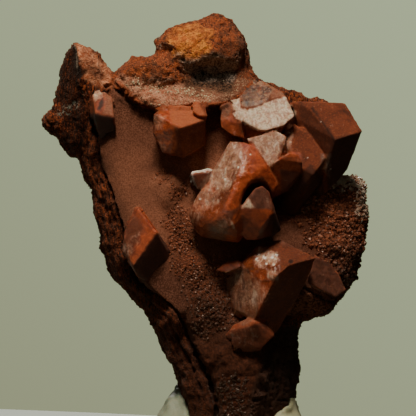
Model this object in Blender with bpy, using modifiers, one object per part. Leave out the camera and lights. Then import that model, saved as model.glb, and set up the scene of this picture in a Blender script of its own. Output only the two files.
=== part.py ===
"""Calcite crystals on a rusty ironstone matrix, standing in a lump of mounting putty.

Row frame: +Z up, +X to the right and -Y towards the viewer of the crystal side. The
origin is the middle of the putty's flat underside. Positions are written in millimetres
as (x, y, z) or, for outlines and spot depths on the plate, as (x, z) seen from the front.
"""

import math

import bmesh
import bpy
import numpy as np
from mathutils import Vector, noise

MM = 0.001
SEAT_GAP = 0.3  # clearance between the stone and the crystals on it
PUTTY_GAP = 0.45  # and between the putty and the stone's hackly foot
FOOT_BOTTOM = 2.6  # the stone is broken off flat here, inside the putty

PLATE_HALF = 6.0  # half thickness of the flat blank that the plate is draped from
PLATE_VOXEL = 0.9
ROCK_VOXEL = 0.75
ROCK_TRIANGLES = 5900
RIM_WIDTH = 4.5  # how far in from the outline the broken edge rounds over
RIM_SHARE = 0.28  # share of the full thickness left at the outline
SPOT_SPREAD = 1.6  # how wide each spot depth holds before it blends with its neighbours

# The plate's outline seen from the front, from the horn's tip clockwise.
PLATE_OUTLINE = [
    (-32.2, 80.8), (-29.8, 79.2), (-27.4, 77.6), (-25.6, 75.6), (-24.0, 72.8),
    (-21.4, 75.2), (-17.0, 76.4), (-7.0, 78.2), (2.0, 76.0), (5.4, 73.2),
    (10.0, 70.8), (13.0, 69.6), (17.4, 69.2), (20.0, 67.2), (20.6, 61.2),
    (20.2, 56.2), (21.2, 53.6), (22.4, 52.0), (23.4, 53.2), (24.6, 53.4),
    (25.4, 51.6), (25.6, 47.2), (26.0, 43.2), (25.8, 40.0), (24.8, 36.8),
    (24.4, 34.2), (22.4, 31.6), (20.2, 29.2), (18.4, 27.0), (16.4, 26.0),
    (13.8, 25.8), (12.4, 24.2), (12.0, 21.6), (12.2, 18.8), (12.6, 16.0),
    (12.2, 12.8), (11.8, 9.2), (11.2, 4.8), (10.6, -3.0), (-7.2, -3.0),
    (-8.4, 3.0), (-9.4, 6.8), (-10.4, 10.0), (-11.6, 13.4), (-12.8, 16.4),
    (-14.4, 20.0), (-15.6, 22.6), (-16.4, 24.8), (-18.4, 27.6), (-20.4, 30.2),
    (-22.6, 32.0), (-24.4, 33.4), (-25.4, 35.6), (-26.0, 38.0), (-26.8, 41.2),
    (-27.8, 44.4), (-28.4, 48.0), (-28.8, 51.2), (-30.0, 53.2), (-30.6, 55.6),
    (-31.0, 58.0), (-33.4, 58.6), (-34.6, 60.6), (-35.6, 62.4), (-37.4, 63.0),
    (-38.8, 64.0), (-39.0, 65.2), (-37.6, 66.4), (-36.2, 67.8), (-35.4, 70.2),
    (-34.8, 72.4), (-35.2, 74.6), (-34.4, 76.4), (-33.4, 78.8),
]

# Spot depths of the front, (x, z, how far it stands towards the viewer).
FRONT_SPOTS = [
    (-32.2, 79.2, 1.5), (-33.0, 71.2, 1.0), (-37.0, 65.2, -1.5), (-32.0, 61.2, 1.5),  # horn
    (-28.4, 63.2, 3.5), (-26.8, 53.2, 3.2), (-25.2, 46.2, 3.4), (-24.0, 40.2, 3.8),  # rim
    (-22.0, 34.0, 4.0), (-17.4, 28.6, 4.6), (-13.6, 21.6, 5.4), (-10.4, 13.0, 6.0),
    (-24.0, 69.2, 2.5), (-20.0, 68.2, 2.5), (-25.0, 61.2, 5.6), (-21.0, 59.2, 5.0),  # smooth
    (-17.0, 55.2, 4.2), (-22.0, 49.2, 6.6), (-17.0, 46.2, 5.6), (-20.0, 39.2, 7.4),
    (-14.0, 39.2, 6.4), (-15.0, 31.2, 7.8), (-11.0, 25.2, 8.2),
    (-14.6, 51.0, 6.4), (-10.0, 42.2, 6.6), (-8.4, 35.2, 8.2), (-7.0, 28.2, 8.8),  # druse band
    (-4.0, 19.2, 8.8), (0.0, 13.2, 8.2), (1.4, 7.2, 7.2),
    (-7.0, 59.2, 3.6), (-4.0, 49.2, 4.6), (1.0, 49.2, 5.0), (1.0, 31.2, 7.6),  # under crystals
    (7.0, 39.2, 5.0), (11.0, 49.2, 2.0), (13.0, 59.2, 1.0), (5.0, 63.2, 2.0),
    (17.0, 47.2, 2.8), (22.0, 50.2, 2.0), (24.0, 43.2, 2.8), (21.0, 39.2, 4.6),  # wing
    (17.0, 33.2, 5.2), (22.0, 33.2, 3.8), (15.0, 28.2, 5.4), (19.0, 28.0, 4.2),
    (12.6, 44.0, 4.0),
    (6.4, 19.2, 4.6), (10.0, 19.2, 0.5), (9.4, 9.2, 0.5), (5.6, 9.2, 4.6),  # foot
]

# Spot depths of the back, (x, z, how far it stands away from the viewer).
BACK_SPOTS = [
    (-32.0, 73.0, 5.0), (-26.0, 69.2, 8.0), (-26.0, 52.0, 7.0), (-17.0, 59.2, 13.0),
    (-17.0, 40.0, 8.5), (-3.0, 62.0, 15.0), (-4.0, 46.0, 12.5), (-6.0, 33.0, 14.5),
    (11.0, 60.0, 10.0), (12.0, 47.0, 13.0), (22.0, 43.2, 6.0), (15.0, 33.0, 9.0),
    (4.0, 25.0, 10.5), (-9.0, 22.0, 7.5), (1.0, 12.0, 9.5), (-3.0, 74.0, 9.0),
]

# The smooth, dusty face down the left side of the front.
SMOOTH_FACE = [
    (-24.4, 71.0), (-19.0, 70.0), (-16.6, 66.6), (-15.6, 61.0), (-16.4, 54.0),
    (-14.8, 48.0), (-12.4, 43.0), (-10.4, 37.0), (-9.4, 29.0), (-11.0, 24.0),
    (-15.0, 29.0), (-19.6, 34.4), (-22.6, 41.0), (-24.4, 47.0), (-26.4, 53.0),
    (-27.2, 60.0), (-26.6, 66.0),
]
SMOOTH_LIFT = 0.9  # the smooth face is the top of a layer this much above the rim
SMOOTH_FADE = 1.1
LAYER_REACH = 8.0  # the layer thins out this far from its cracked edge

# The narrow gap between the rim and the edge of the smooth layer, from the top down.
EDGE_CRACK = [
    (-28.6, 65.6), (-27.6, 61.2), (-27.0, 56.2), (-25.0, 51.6), (-23.6, 46.8),
    (-22.4, 43.0), (-21.6, 38.4), (-19.6, 33.0), (-16.4, 30.4), (-12.9, 28.2),
    (-10.9, 26.0), (-9.0, 21.0), (-7.2, 17.2), (-5.2, 13.7), (-3.9, 8.8),
    (-3.4, 3.0),
]
CRACK_HALF_WIDTH = (0.75, 1.15)  # up beside the smooth face, and down at the foot
CRACK_DEPTH = (1.3, 1.9)
CRACK_WIDENS = (40.0, 30.0)  # between these heights

# Angular blocks that stand off the plate, as the corners of each.
BLOCKS = {
    "knob": [
        (-16.4, 0.5, 78.6), (-16.6, 0.0, 81.2), (-15.2, 0.5, 82.8), (-11.5, -0.5, 84.5),
        (-7.4, 0.0, 85.5), (-3.9, 0.5, 86.9), (-0.3, 1.5, 85.6), (1.8, 2.5, 83.0),
        (3.0, 3.0, 79.0), (2.6, 3.0, 75.6), (-12.5, -4.6, 80.2), (-9.8, -6.4, 77.4),
        (-8.0, -5.6, 82.0), (-3.5, -5.6, 81.6), (-3.0, -6.2, 77.6), (1.2, -2.6, 79.6),
        (0.8, -2.6, 76.4), (-13.0, 8.0, 81.0), (-8.0, 10.0, 82.0), (-2.0, 10.5, 80.0),
        (1.0, 7.5, 78.0), (-12.0, 8.0, 75.0), (0.0, 8.0, 73.0), (-6.0, 1.0, 71.0),
    ],
    "lobe": [
        (-23.9, -0.5, 73.2), (-23.6, -1.0, 75.6), (-22.4, -0.5, 76.8), (-20.3, 0.0, 78.2),
        (-17.0, 0.0, 78.4), (-11.0, 0.0, 77.5), (-21.6, -4.4, 74.6), (-19.0, -5.0, 76.2),
        (-14.5, -5.4, 76.4), (-10.2, -4.8, 75.4), (-20.8, -4.8, 73.0), (-14.0, -5.6, 73.4),
        (-9.6, -4.0, 73.2), (-21.0, 5.0, 74.5), (-12.0, 6.0, 76.0), (-18.0, 5.0, 70.0),
    ],
    "ledge": [
        (-23.8, -4.2, 73.0), (-21.3, -5.4, 70.8), (-18.8, -6.3, 68.4), (-16.4, -6.9, 67.1),
        (-12.0, -7.3, 67.2), (-6.6, -7.4, 67.7), (-1.5, -6.6, 68.3), (0.8, -5.6, 69.6),
        (2.4, -4.2, 71.2), (4.0, -2.4, 73.0), (-23.8, 1.0, 74.2), (-17.0, -1.6, 73.6),
        (-7.0, -2.0, 72.8), (3.0, 1.0, 74.6), (-22.0, -2.0, 70.6), (-14.0, -3.0, 67.6),
        (-6.0, -3.0, 68.0), (0.0, -2.0, 69.4),
    ],
    "horn": [
        (-32.2, -1.4, 81.1), (-29.8, -1.0, 80.0), (-27.3, 0.0, 78.7), (-25.6, 0.0, 76.8),
        (-24.4, -0.6, 74.6), (-30.8, -5.0, 77.6), (-30.2, -6.0, 73.6), (-29.4, -5.4, 69.6),
        (-35.4, 0.5, 74.6), (-34.2, 0.0, 77.8), (-35.2, 0.0, 70.4), (-33.0, -3.0, 70.0),
        (-26.6, -3.4, 69.8), (-30.8, -2.5, 60.0), (-27.6, -4.0, 62.0), (-30.0, 7.0, 72.0),
        (-29.0, 5.0, 77.0),
    ],
    "spur": [
        (-39.2, 1.0, 65.2), (-36.6, 0.0, 67.4), (-34.6, -1.0, 69.4), (-37.4, 1.0, 63.0),
        (-34.4, 0.0, 60.4), (-31.0, -1.0, 59.0), (-32.0, -2.4, 67.2), (-34.0, 6.0, 64.0),
        (-30.0, 7.0, 63.2), (-36.0, -1.6, 64.6),
    ],
    "right_ridge": [
        (4.0, -0.5, 73.6), (10.0, 0.0, 70.8), (17.4, 0.5, 69.2), (20.0, 1.0, 66.6),
        (6.0, 6.0, 72.4), (17.0, 6.0, 67.4), (5.0, 0.0, 68.0), (18.0, 0.0, 60.0),
    ],
    "foot_ridge": [
        (1.2, -8.2, -2.0), (1.6, -8.6, 7.0), (2.8, -9.0, 11.0), (4.2, -9.2, 15.0),
        (4.8, -9.0, 19.0), (-3.4, -9.6, 27.0), (-5.0, -6.8, 6.0), (-8.6, -6.8, 17.0),
        (-5.0, -6.4, -2.0), (-8.2, -4.4, 2.0), (-12.6, -4.4, 20.0), (10.8, -1.0, 0.0),
        (11.4, -1.5, 20.0), (9.0, -3.0, 26.0), (0.0, 3.0, -2.0), (0.0, 4.0, 24.0),
    ],
    "back_hump": [
        (-17.0, 6.0, 60.0), (-14.0, 12.5, 57.0), (-8.0, 15.5, 64.0), (2.0, 14.0, 66.0),
        (9.0, 10.0, 60.0), (6.0, 15.0, 50.0), (-4.0, 17.5, 47.0), (-12.0, 12.0, 43.0),
        (-8.0, 13.0, 32.0), (2.0, 13.0, 30.0), (12.0, 8.0, 38.0), (14.0, 9.0, 50.0),
    ],
    "back_slab": [
        (-24.0, 5.0, 58.0), (-20.0, 10.5, 62.0), (-12.0, 12.0, 66.0), (-17.0, 10.0, 46.0),
        (-23.0, 6.0, 46.0), (-10.0, 9.0, 44.0), (-18.0, 5.0, 38.0),
    ],
}

# Hollows bitten out of the stone: (centre, radii).
HOLLOWS = [
    ((-7.2, -5.6, 74.4), (3.6, 3.2, 2.0)),
    ((-2.6, -4.6, 73.6), (2.6, 3.0, 1.8)),
    ((-14.0, -3.6, 79.4), (2.4, 3.0, 0.9)),
    ((-16.0, -5.4, 71.6), (5.0, 1.6, 1.2)),
    ((21.0, 7.5, 57.0), (3.4, 5.0, 3.0)),
]

# Each crystal by its corners: those that show first, then those buried in the stone.
HORN_CRYSTAL = [
    (-27.8, -8.2, 66.2), (-24.1, -8.1, 65.6), (-24.5, -5.7, 69.6), (-25.9, -4.8, 70.8),
    (-28.6, -4.8, 70.5), (-23.5, -5.9, 62.2), (-27.2, -6.2, 61.8), (-28.2, -5.5, 65.2),
    (-27.0, 0.0, 68.2), (-25.0, -1.0, 64.2),
]
LEDGE_CRYSTAL = [
    (-10.8, -12.5, 63.5), (-5.8, -9.0, 65.3), (-9.2, -3.2, 68.8), (-14.2, -5.2, 68.2),
    (-16.2, -8.8, 66.4), (-16.6, -8.2, 62.6), (-14.4, -8.0, 58.6), (-10.3, -9.2, 57.5),
    (-5.9, -6.6, 60.1), (-13.0, 1.0, 65.2), (-7.0, 0.0, 66.2), (-8.0, -1.0, 60.2),
    (-13.0, 0.0, 60.0),
]
LEDGE_CHIP = [
    (-8.4, -7.6, 68.0), (-6.8, -7.8, 68.6), (-6.1, -8.0, 68.2), (-5.4, -9.8, 65.8),
    (-7.4, -9.8, 66.0), (-8.6, -8.6, 66.9), (-7.0, 0.0, 66.8), (-6.0, -5.0, 64.6),
]
FLANK_CRYSTAL = [
    (-15.5, -12.2, 42.9), (-20.3, -11.4, 36.1), (-13.4, -8.0, 39.2), (-13.4, -7.2, 36.8),
    (-16.4, -6.6, 32.4), (-19.6, -8.4, 33.8), (-22.4, -7.3, 39.1), (-22.2, -7.1, 42.9),
    (-19.4, -7.6, 47.8), (-21.0, -8.2, 36.2), (-19.0, -2.0, 41.2), (-15.0, -3.0, 36.2),
]
GREAT_CRYSTAL = [
    (-1.0, -9.6, 61.0), (1.6, -10.9, 60.8), (3.1, -11.3, 60.2), (4.3, -11.6, 59.1),
    (6.2, -12.0, 56.1), (7.6, -11.2, 54.4), (8.7, -9.9, 52.4), (8.1, -9.0, 50.0),
    (-2.0, -9.4, 59.4), (-3.7, -9.6, 56.6), (-5.6, -9.9, 53.6), (-8.0, -10.3, 50.3),
    (-9.2, -10.4, 47.6), (-9.3, -10.3, 46.0), (-8.7, -10.2, 44.3), (-7.4, -9.6, 42.3),
    (-5.4, -9.3, 41.5), (-2.7, -9.5, 41.4), (0.6, -9.8, 40.7), (1.8, -12.9, 58.0),
    (1.0, -14.6, 54.4), (-0.6, -15.6, 50.4), (-2.6, -15.9, 46.6), (-5.2, -14.4, 44.6),
    (-0.8, -15.4, 44.0), (-6.4, -12.6, 43.2), (-3.6, -13.8, 42.6), (0.2, -13.4, 41.6),
    (3.2, -14.2, 54.2),
    (-1.0, -2.0, 55.2), (4.0, -2.0, 53.2), (-4.0, -2.0, 44.2), (-7.0, -3.0, 48.2),
    (4.0, -3.0, 45.0),
]
ARCH = ((4.7, -14.0, 47.0), (3.8, 8.0, 6.1))  # the hollow under the great crystal's shoulder
ARCH_CRYSTAL = [
    (0.9, -14.6, 47.4), (3.8, -14.2, 47.7), (2.6, -14.0, 49.9), (3.8, -13.4, 51.6),
    (5.4, -12.6, 52.2), (6.7, -12.0, 50.8), (7.6, -12.8, 47.2), (5.6, -13.4, 42.8),
    (4.2, -12.2, 41.4), (2.2, -11.8, 41.2), (0.7, -12.4, 42.6), (-0.6, -13.4, 45.2),
    (8.4, -9.8, 46.4), (9.1, -8.6, 43.2), (7.8, -8.6, 42.0), (4.6, -9.4, 41.4),
    (4.0, -3.0, 47.2), (5.0, -4.0, 43.2),
]
SIDE_CRYSTAL = [
    (-9.0, -9.3, 54.3), (-8.6, -7.4, 55.0), (-4.4, -7.4, 55.7), (-4.6, -9.3, 54.9),
    (-7.7, -8.5, 51.2), (-4.0, -8.8, 51.0), (-6.0, -2.0, 53.2), (-8.2, -4.0, 53.2),
]
BAND_CRYSTAL = [
    (0.0, -8.0, 65.8), (-0.5, -6.2, 68.6), (1.0, -5.8, 69.2), (1.1, -7.0, 67.4),
    (5.3, -7.2, 68.0), (10.3, -5.7, 69.6), (12.0, -7.9, 66.0), (9.6, -9.1, 64.0),
    (6.4, -9.6, 63.1), (5.0, -9.6, 63.1), (3.0, -9.0, 64.1), (3.5, -2.8, 72.6),
    (5.3, -2.2, 73.1), (6.9, -2.4, 72.3), (9.4, -3.6, 70.9), (4.2, -7.0, 61.6),
    (2.4, -6.4, 61.8), (0.6, -5.6, 63.8), (8.8, -6.4, 62.2), (3.0, 4.0, 69.2),
    (8.0, 4.0, 68.2), (5.0, 3.0, 61.0), (6.0, -3.0, 58.6), (2.0, -3.0, 59.4),
]
NOOK_CRYSTAL = [
    (-2.6, -5.9, 68.0), (-0.4, -6.7, 68.4), (-3.0, -7.5, 65.4), (-2.8, -8.0, 63.6),
    (-0.6, -8.3, 61.9), (1.8, -7.7, 61.4), (1.2, -8.5, 64.6), (-1.4, -8.6, 65.2),
    (-1.0, 1.0, 65.2), (2.0, -3.0, 62.0),
]
PINK_CRYSTAL = [
    (2.2, -9.8, 61.4), (5.2, -9.4, 62.4), (8.2, -9.2, 63.0), (10.2, -9.6, 61.8),
    (8.9, -10.5, 58.8), (8.8, -11.1, 57.0), (6.7, -11.5, 55.7), (4.0, -10.9, 57.6),
    (10.4, -8.4, 57.6), (10.0, -7.6, 54.0), (7.6, -7.5, 50.0), (5.0, 2.0, 59.2),
    (10.0, 2.0, 59.2), (8.0, 2.0, 52.2),
]
BROW_CRYSTAL = [
    (6.8, -11.2, 55.8), (8.8, -11.6, 57.4), (10.6, -11.4, 58.6), (12.6, -10.6, 58.3),
    (13.4, -10.8, 56.6), (13.2, -10.0, 54.6), (10.6, -7.9, 51.0), (7.8, -7.7, 49.6),
    (7.4, -8.6, 53.6), (9.0, -2.0, 56.0), (12.0, -2.0, 57.0), (9.6, -2.0, 52.0),
]
SHIELD_CRYSTAL = [
    (12.0, -5.4, 64.4), (14.4, -4.9, 63.2), (18.6, -6.8, 59.1), (17.9, -8.0, 57.4),
    (15.6, -9.8, 54.4), (13.4, -9.4, 55.6), (11.2, -8.3, 58.4), (10.5, -7.2, 60.8),
    (9.6, -4.6, 62.6), (8.6, -5.4, 60.6), (9.0, -6.4, 57.6), (8.2, -4.4, 46.6),
    (11.8, -4.2, 46.2), (16.6, -5.2, 52.0), (13.0, 2.0, 61.2), (17.0, 0.0, 57.2),
    (11.0, 2.0, 51.2),
]
GLASS_SLIVER = [
    (17.9, -7.8, 58.2), (18.8, -7.2, 56.4), (18.4, -6.6, 53.8), (17.2, -7.4, 55.8),
    (16.6, -3.0, 56.4),
]
CORNER_CRYSTAL = [
    (20.0, -10.8, 61.2), (25.1, -9.6, 62.8), (23.5, -6.9, 66.4), (22.2, -5.3, 68.5),
    (18.3, -5.1, 68.8), (14.8, -6.1, 67.4), (11.2, -2.4, 68.9), (12.2, -4.0, 65.6),
    (14.8, -5.6, 62.8), (19.0, -9.0, 59.6), (22.4, -4.4, 55.2), (21.0, -3.2, 53.6),
    (16.0, -2.0, 48.2), (13.0, 4.0, 59.2), (22.0, 3.0, 59.2), (19.0, 3.0, 67.2),
]
LOWER_CRYSTAL = [
    (4.5, -8.1, 40.4), (9.1, -7.1, 41.4), (12.1, -9.0, 39.8), (16.0, -12.1, 37.7),
    (10.7, -15.6, 36.4), (8.2, -15.9, 34.1), (2.9, -11.7, 36.3), (6.5, -14.3, 31.0),
    (5.0, -12.5, 27.3), (3.8, -11.7, 25.4), (1.0, -9.6, 26.5), (-0.5, -8.5, 27.3),
    (-1.1, -8.1, 29.5), (-1.4, -8.2, 33.8), (0.4, -9.7, 35.7), (14.3, -9.3, 32.9),
    (10.7, -6.4, 26.3), (7.9, -4.6, 22.2), (3.0, -2.0, 35.2), (11.0, -2.0, 35.2),
    (5.0, -3.0, 27.2),
]
TOE_CRYSTAL = [
    (-2.3, -9.8, 22.2), (3.8, -12.3, 25.0), (8.0, -10.2, 22.3), (6.1, -10.8, 20.7),
    (5.0, -10.5, 19.5), (0.4, -10.1, 19.7), (-1.8, -9.5, 20.4), (-2.8, -9.1, 21.4),
    (-0.6, -9.8, 24.4), (3.0, -10.8, 26.0), (6.0, -9.1, 25.6), (2.0, -3.0, 22.2),
    (6.0, -3.0, 24.0),
]
BUD_CRYSTAL = [
    (-4.1, -9.7, 35.2), (-1.4, -9.6, 37.2), (0.9, -10.1, 37.3), (1.2, -11.5, 35.8),
    (-1.8, -10.9, 34.7), (-1.4, -3.0, 35.6), (2.0, -6.0, 35.4),
]
WING_CRYSTAL = [
    (15.8, -7.8, 38.2), (14.2, -8.4, 32.8), (20.2, -6.2, 29.6), (22.2, -5.0, 31.2),
    (20.8, -5.6, 34.4), (18.6, -6.4, 37.0), (15.4, -5.0, 31.5), (17.4, 1.0, 34.2),
    (21.0, -1.0, 31.2),
]

# Crystals that grew into one another, by the node they make.
CRYSTALS = {
    "horn_crystal": [HORN_CRYSTAL],
    "ledge_crystals": [LEDGE_CRYSTAL, LEDGE_CHIP],
    "flank_crystal": [FLANK_CRYSTAL],
    "central_crystals": [
        GREAT_CRYSTAL, ARCH_CRYSTAL, SIDE_CRYSTAL, BAND_CRYSTAL, BROW_CRYSTAL, NOOK_CRYSTAL,
        PINK_CRYSTAL, SHIELD_CRYSTAL, CORNER_CRYSTAL, GLASS_SLIVER,
    ],
    "lower_crystals": [LOWER_CRYSTAL, TOE_CRYSTAL, BUD_CRYSTAL],
    "wing_crystal": [WING_CRYSTAL],
}
FLAT_WITHIN = 9.0  # folds in a crystal's hull up to this angle are one flat face

# The putty's section is a flattened dome; these are its half sizes and its crown.
PUTTY_HALF_WIDTH = 15.0
PUTTY_HALF_DEPTH = 16.0
PUTTY_SQUARENESS = 0.3  # how much steeper its sides are than a ball's
PUTTY_HEIGHT = 15.0
PUTTY_FRONT = 2.0  # it is pressed low in front of the stone
PUTTY_BELLY = 2.2  # height of its widest level


def clear_scene():
    for thing in list(bpy.data.objects):
        bpy.data.objects.remove(thing, do_unlink=True)


def collection(name, hidden=False):
    made = bpy.data.collections.new(name)
    made.hide_render = hidden
    bpy.context.scene.collection.children.link(made)
    return made


def material(name, colour, roughness):
    """A plain Principled finish in one colour."""
    made = bpy.data.materials.new(name)
    made.use_nodes = True
    shader = made.node_tree.nodes["Principled BSDF"]
    shader.inputs["Base Color"].default_value = (*colour, 1.0)
    shader.inputs["Roughness"].default_value = roughness
    return made


def placed(name, mesh, into):
    made = bpy.data.objects.new(name, mesh)
    into.objects.link(made)
    return made


def solid_from_bmesh(name, shape, into):
    bmesh.ops.recalc_face_normals(shape, faces=shape.faces)
    mesh = bpy.data.meshes.new(name)
    shape.to_mesh(mesh)
    shape.free()
    return placed(name, mesh, into)


def baked(obj):
    """Replaces an object's mesh with what its modifiers make of it, as one closed skin."""
    bpy.context.view_layer.update()
    graph = bpy.context.evaluated_depsgraph_get()
    mesh = bpy.data.meshes.new_from_object(obj.evaluated_get(graph))
    obj.modifiers.clear()
    obj.data = mesh
    return obj


def hull(name, corners, into):
    """The convex solid with these corners, in millimetres, its near-flat folds made flat."""
    shape = bmesh.new()
    points = [shape.verts.new(Vector(corner) * MM) for corner in corners]
    made = bmesh.ops.convex_hull(shape, input=points)
    spare = made["geom_interior"] + made["geom_unused"]
    spare = {vert for vert in spare if isinstance(vert, bmesh.types.BMVert)}
    bmesh.ops.delete(shape, geom=list(spare), context="VERTS")
    bmesh.ops.dissolve_limit(
        shape, angle_limit=math.radians(FLAT_WITHIN), verts=shape.verts, edges=shape.edges
    )
    bmesh.ops.planar_faces(shape, faces=shape.faces, iterations=40, factor=0.4)
    return solid_from_bmesh(name, shape, into)


def ellipsoid(name, centre, radii, into):
    """A rounded cutter stretched to its three radii."""
    shape = bmesh.new()
    bmesh.ops.create_icosphere(shape, subdivisions=3, radius=1.0)
    for vert in shape.verts:
        vert.co = (Vector(r * c for r, c in zip(radii, vert.co)) + Vector(centre)) * MM
    cutter = solid_from_bmesh(name, shape, into)
    cutter.hide_render = True
    cutter.display_type = "WIRE"
    return cutter


def boolean(obj, other, operation, crossed=False):
    """Crossed is for when either shape may run through itself."""
    cut = obj.modifiers.new(operation.lower(), "BOOLEAN")
    cut.operation = operation
    cut.solver = "EXACT"
    cut.use_self = crossed
    cut.object = other
    return baked(obj)


def voxel_skin(obj, size):
    skin = obj.modifiers.new("skin", "REMESH")
    skin.mode = "VOXEL"
    skin.voxel_size = size * MM
    return baked(obj)


def coordinates(mesh):
    """The mesh's points in millimetres, one row each."""
    flat = np.empty(len(mesh.vertices) * 3)
    mesh.vertices.foreach_get("co", flat)
    return flat.reshape(-1, 3) / MM


def move_to(mesh, points):
    mesh.vertices.foreach_set("co", (points * MM).ravel())
    mesh.update()


def normals_of(mesh):
    flat = np.empty(len(mesh.vertices) * 3)
    mesh.vertices.foreach_get("normal", flat)
    return flat.reshape(-1, 3)


def draped(spots, x, z):
    """A surface through the spot depths: each weighs by how near it is."""
    total = np.zeros(len(x))
    weights = np.zeros(len(x))
    for spot_x, spot_z, depth in spots:
        near = 1.0 / ((x - spot_x) ** 2 + (z - spot_z) ** 2 + SPOT_SPREAD**2) ** 2
        total += near * depth
        weights += near
    return total / weights


def outline_distance(outline, x, z):
    """Distance of each point from a closed outline, positive inside it."""
    nearest = np.full(len(x), 1e9)
    inside = np.zeros(len(x), bool)
    for (ax, az), (bx, bz) in zip(outline, outline[1:] + outline[:1]):
        dx, dz = bx - ax, bz - az
        along = np.clip(((x - ax) * dx + (z - az) * dz) / (dx * dx + dz * dz), 0, 1)
        nearest = np.minimum(nearest, np.hypot(x - ax - along * dx, z - az - along * dz))
        if dz:
            crosses = ((az > z) != (bz > z)) & (x < (z - az) * dx / dz + ax)
            inside ^= crosses
    return np.where(inside, nearest, -nearest)


def path_distance(path, x, z):
    """Distance of each point from an open path."""
    nearest = np.full(len(x), 1e9)
    for (ax, az), (bx, bz) in zip(path, path[1:]):
        dx, dz = bx - ax, bz - az
        along = np.clip(((x - ax) * dx + (z - az) * dz) / (dx * dx + dz * dz), 0, 1)
        nearest = np.minimum(nearest, np.hypot(x - ax - along * dx, z - az - along * dz))
    return nearest


def eased(value):
    value = np.clip(value, 0.0, 1.0)
    return value * value * (3 - 2 * value)


def plate(into):
    """The flat blank cut to the outline, then draped over the front and back depths."""
    curve = bpy.data.curves.new("plate_outline", "CURVE")
    curve.dimensions = "2D"
    curve.fill_mode = "BOTH"
    curve.extrude = PLATE_HALF * MM
    line = curve.splines.new("POLY")
    line.points.add(len(PLATE_OUTLINE) - 1)
    for point, (x, z) in zip(line.points, PLATE_OUTLINE):
        point.co = (x * MM, z * MM, 0, 1)
    line.use_cyclic_u = True
    blank = placed("plate_outline", curve, into)
    blank.rotation_euler = (math.radians(90), 0, 0)
    bpy.context.view_layer.update()
    graph = bpy.context.evaluated_depsgraph_get()
    mesh = bpy.data.meshes.new_from_object(blank.evaluated_get(graph))
    mesh.transform(blank.matrix_world)
    bpy.data.objects.remove(blank)
    shape = bmesh.new()
    shape.from_mesh(mesh)
    bmesh.ops.remove_doubles(shape, verts=shape.verts, dist=0.01 * MM)
    stone = voxel_skin(solid_from_bmesh("plate", shape, into), PLATE_VOXEL)

    points = coordinates(stone.data)
    x, z = points[:, 0], points[:, 2]
    side = np.clip(points[:, 1] / PLATE_HALF, -1, 1)
    front = draped(FRONT_SPOTS, x, z)
    back = draped(BACK_SPOTS, x, z)
    inward = np.clip(outline_distance(PLATE_OUTLINE, x, z) / RIM_WIDTH, 0, 1)
    share = RIM_SHARE + (1 - RIM_SHARE) * np.sqrt(1 - (1 - inward) ** 2)
    points[:, 1] = (back - front) / 2 + side * share * (front + back) / 2
    move_to(stone.data, points)
    return stone


def roughened(stone):
    """Breaks the surface up: hackly and pitted on bare stone, next to none where smooth."""
    points = coordinates(stone.data)
    outward = normals_of(stone.data)
    x, y, z = points.T
    smooth = eased(0.7 + outline_distance(SMOOTH_FACE, x, z) / 2.0) * (outward[:, 1] < 0)
    buried = eased((14.0 - z) / 6.0)
    amount = (1.0 - 0.92 * smooth) * (1.0 - 0.6 * buried)
    for i, point in enumerate(points):
        place = Vector((point[0], point[1], 0.75 * point[2]))
        edges = noise.voronoi(place * 0.17)[0]
        swell = 1.1 * (edges[1] - edges[0]) - 0.05
        swell += 0.5 * noise.noise(place * 0.12)
        swell += 0.5 * noise.noise(place * 0.37)
        pits = max(0.0, noise.noise(place * 0.40 + Vector((7, 3, 5))) - 0.25)
        points[i] += outward[i] * amount[i] * (swell - 1.6 * pits)
    widening = eased((CRACK_WIDENS[0] - z) / (CRACK_WIDENS[0] - CRACK_WIDENS[1]))
    half_width = CRACK_HALF_WIDTH[0] + (CRACK_HALF_WIDTH[1] - CRACK_HALF_WIDTH[0]) * widening
    depth = CRACK_DEPTH[0] + (CRACK_DEPTH[1] - CRACK_DEPTH[0]) * widening
    crack = depth * eased(1 - path_distance(EDGE_CRACK, x, z) / half_width)
    layer = SMOOTH_LIFT * eased(0.5 + outline_distance(SMOOTH_FACE, x, z) / SMOOTH_FADE)
    layer *= eased(1.4 - path_distance(EDGE_CRACK, x, z) / LAYER_REACH)
    points[:, 1] += np.where(outward[:, 1] < -0.3, crack - layer, 0.0)
    move_to(stone.data, points)
    return stone


def matrix_stone(nodes, helpers):
    """The ironstone in one piece: plate and blocks grown into one skin, then bitten."""
    grown = bmesh.new()
    shapes = [plate(helpers)] + [hull(name, corners, helpers) for name, corners in BLOCKS.items()]
    for shape in shapes:
        grown.from_mesh(shape.data)
        bpy.data.objects.remove(shape)
    stone = solid_from_bmesh("matrix", grown, nodes)
    voxel_skin(stone, ROCK_VOXEL)
    for number, hollow in enumerate(HOLLOWS):
        cutter = ellipsoid(f"hollow_{number}", *hollow, helpers)
        boolean(stone, cutter, "DIFFERENCE")
    voxel_skin(stone, ROCK_VOXEL)
    soften = stone.modifiers.new("soften", "SMOOTH")
    soften.factor = 0.5
    soften.iterations = 2
    baked(stone)
    roughened(stone)
    shape = bmesh.new()
    shape.from_mesh(stone.data)
    cut_flat(shape, FOOT_BOTTOM)
    shape.to_mesh(stone.data)
    shape.free()
    thin = stone.modifiers.new("thin", "DECIMATE")
    thin.ratio = ROCK_TRIANGLES / (2 * len(stone.data.polygons))
    baked(stone)
    return stone


def swollen(stone, name, helpers, by):
    """A copy of the stone grown outwards all over, to cut neighbours clear of it."""
    copy = placed(name, stone.data.copy(), helpers)
    grow = copy.modifiers.new("grow", "DISPLACE")
    grow.strength = by * MM
    grow.mid_level = 0.0
    baked(copy)
    copy.hide_render = True
    copy.display_type = "WIRE"
    return copy


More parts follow.
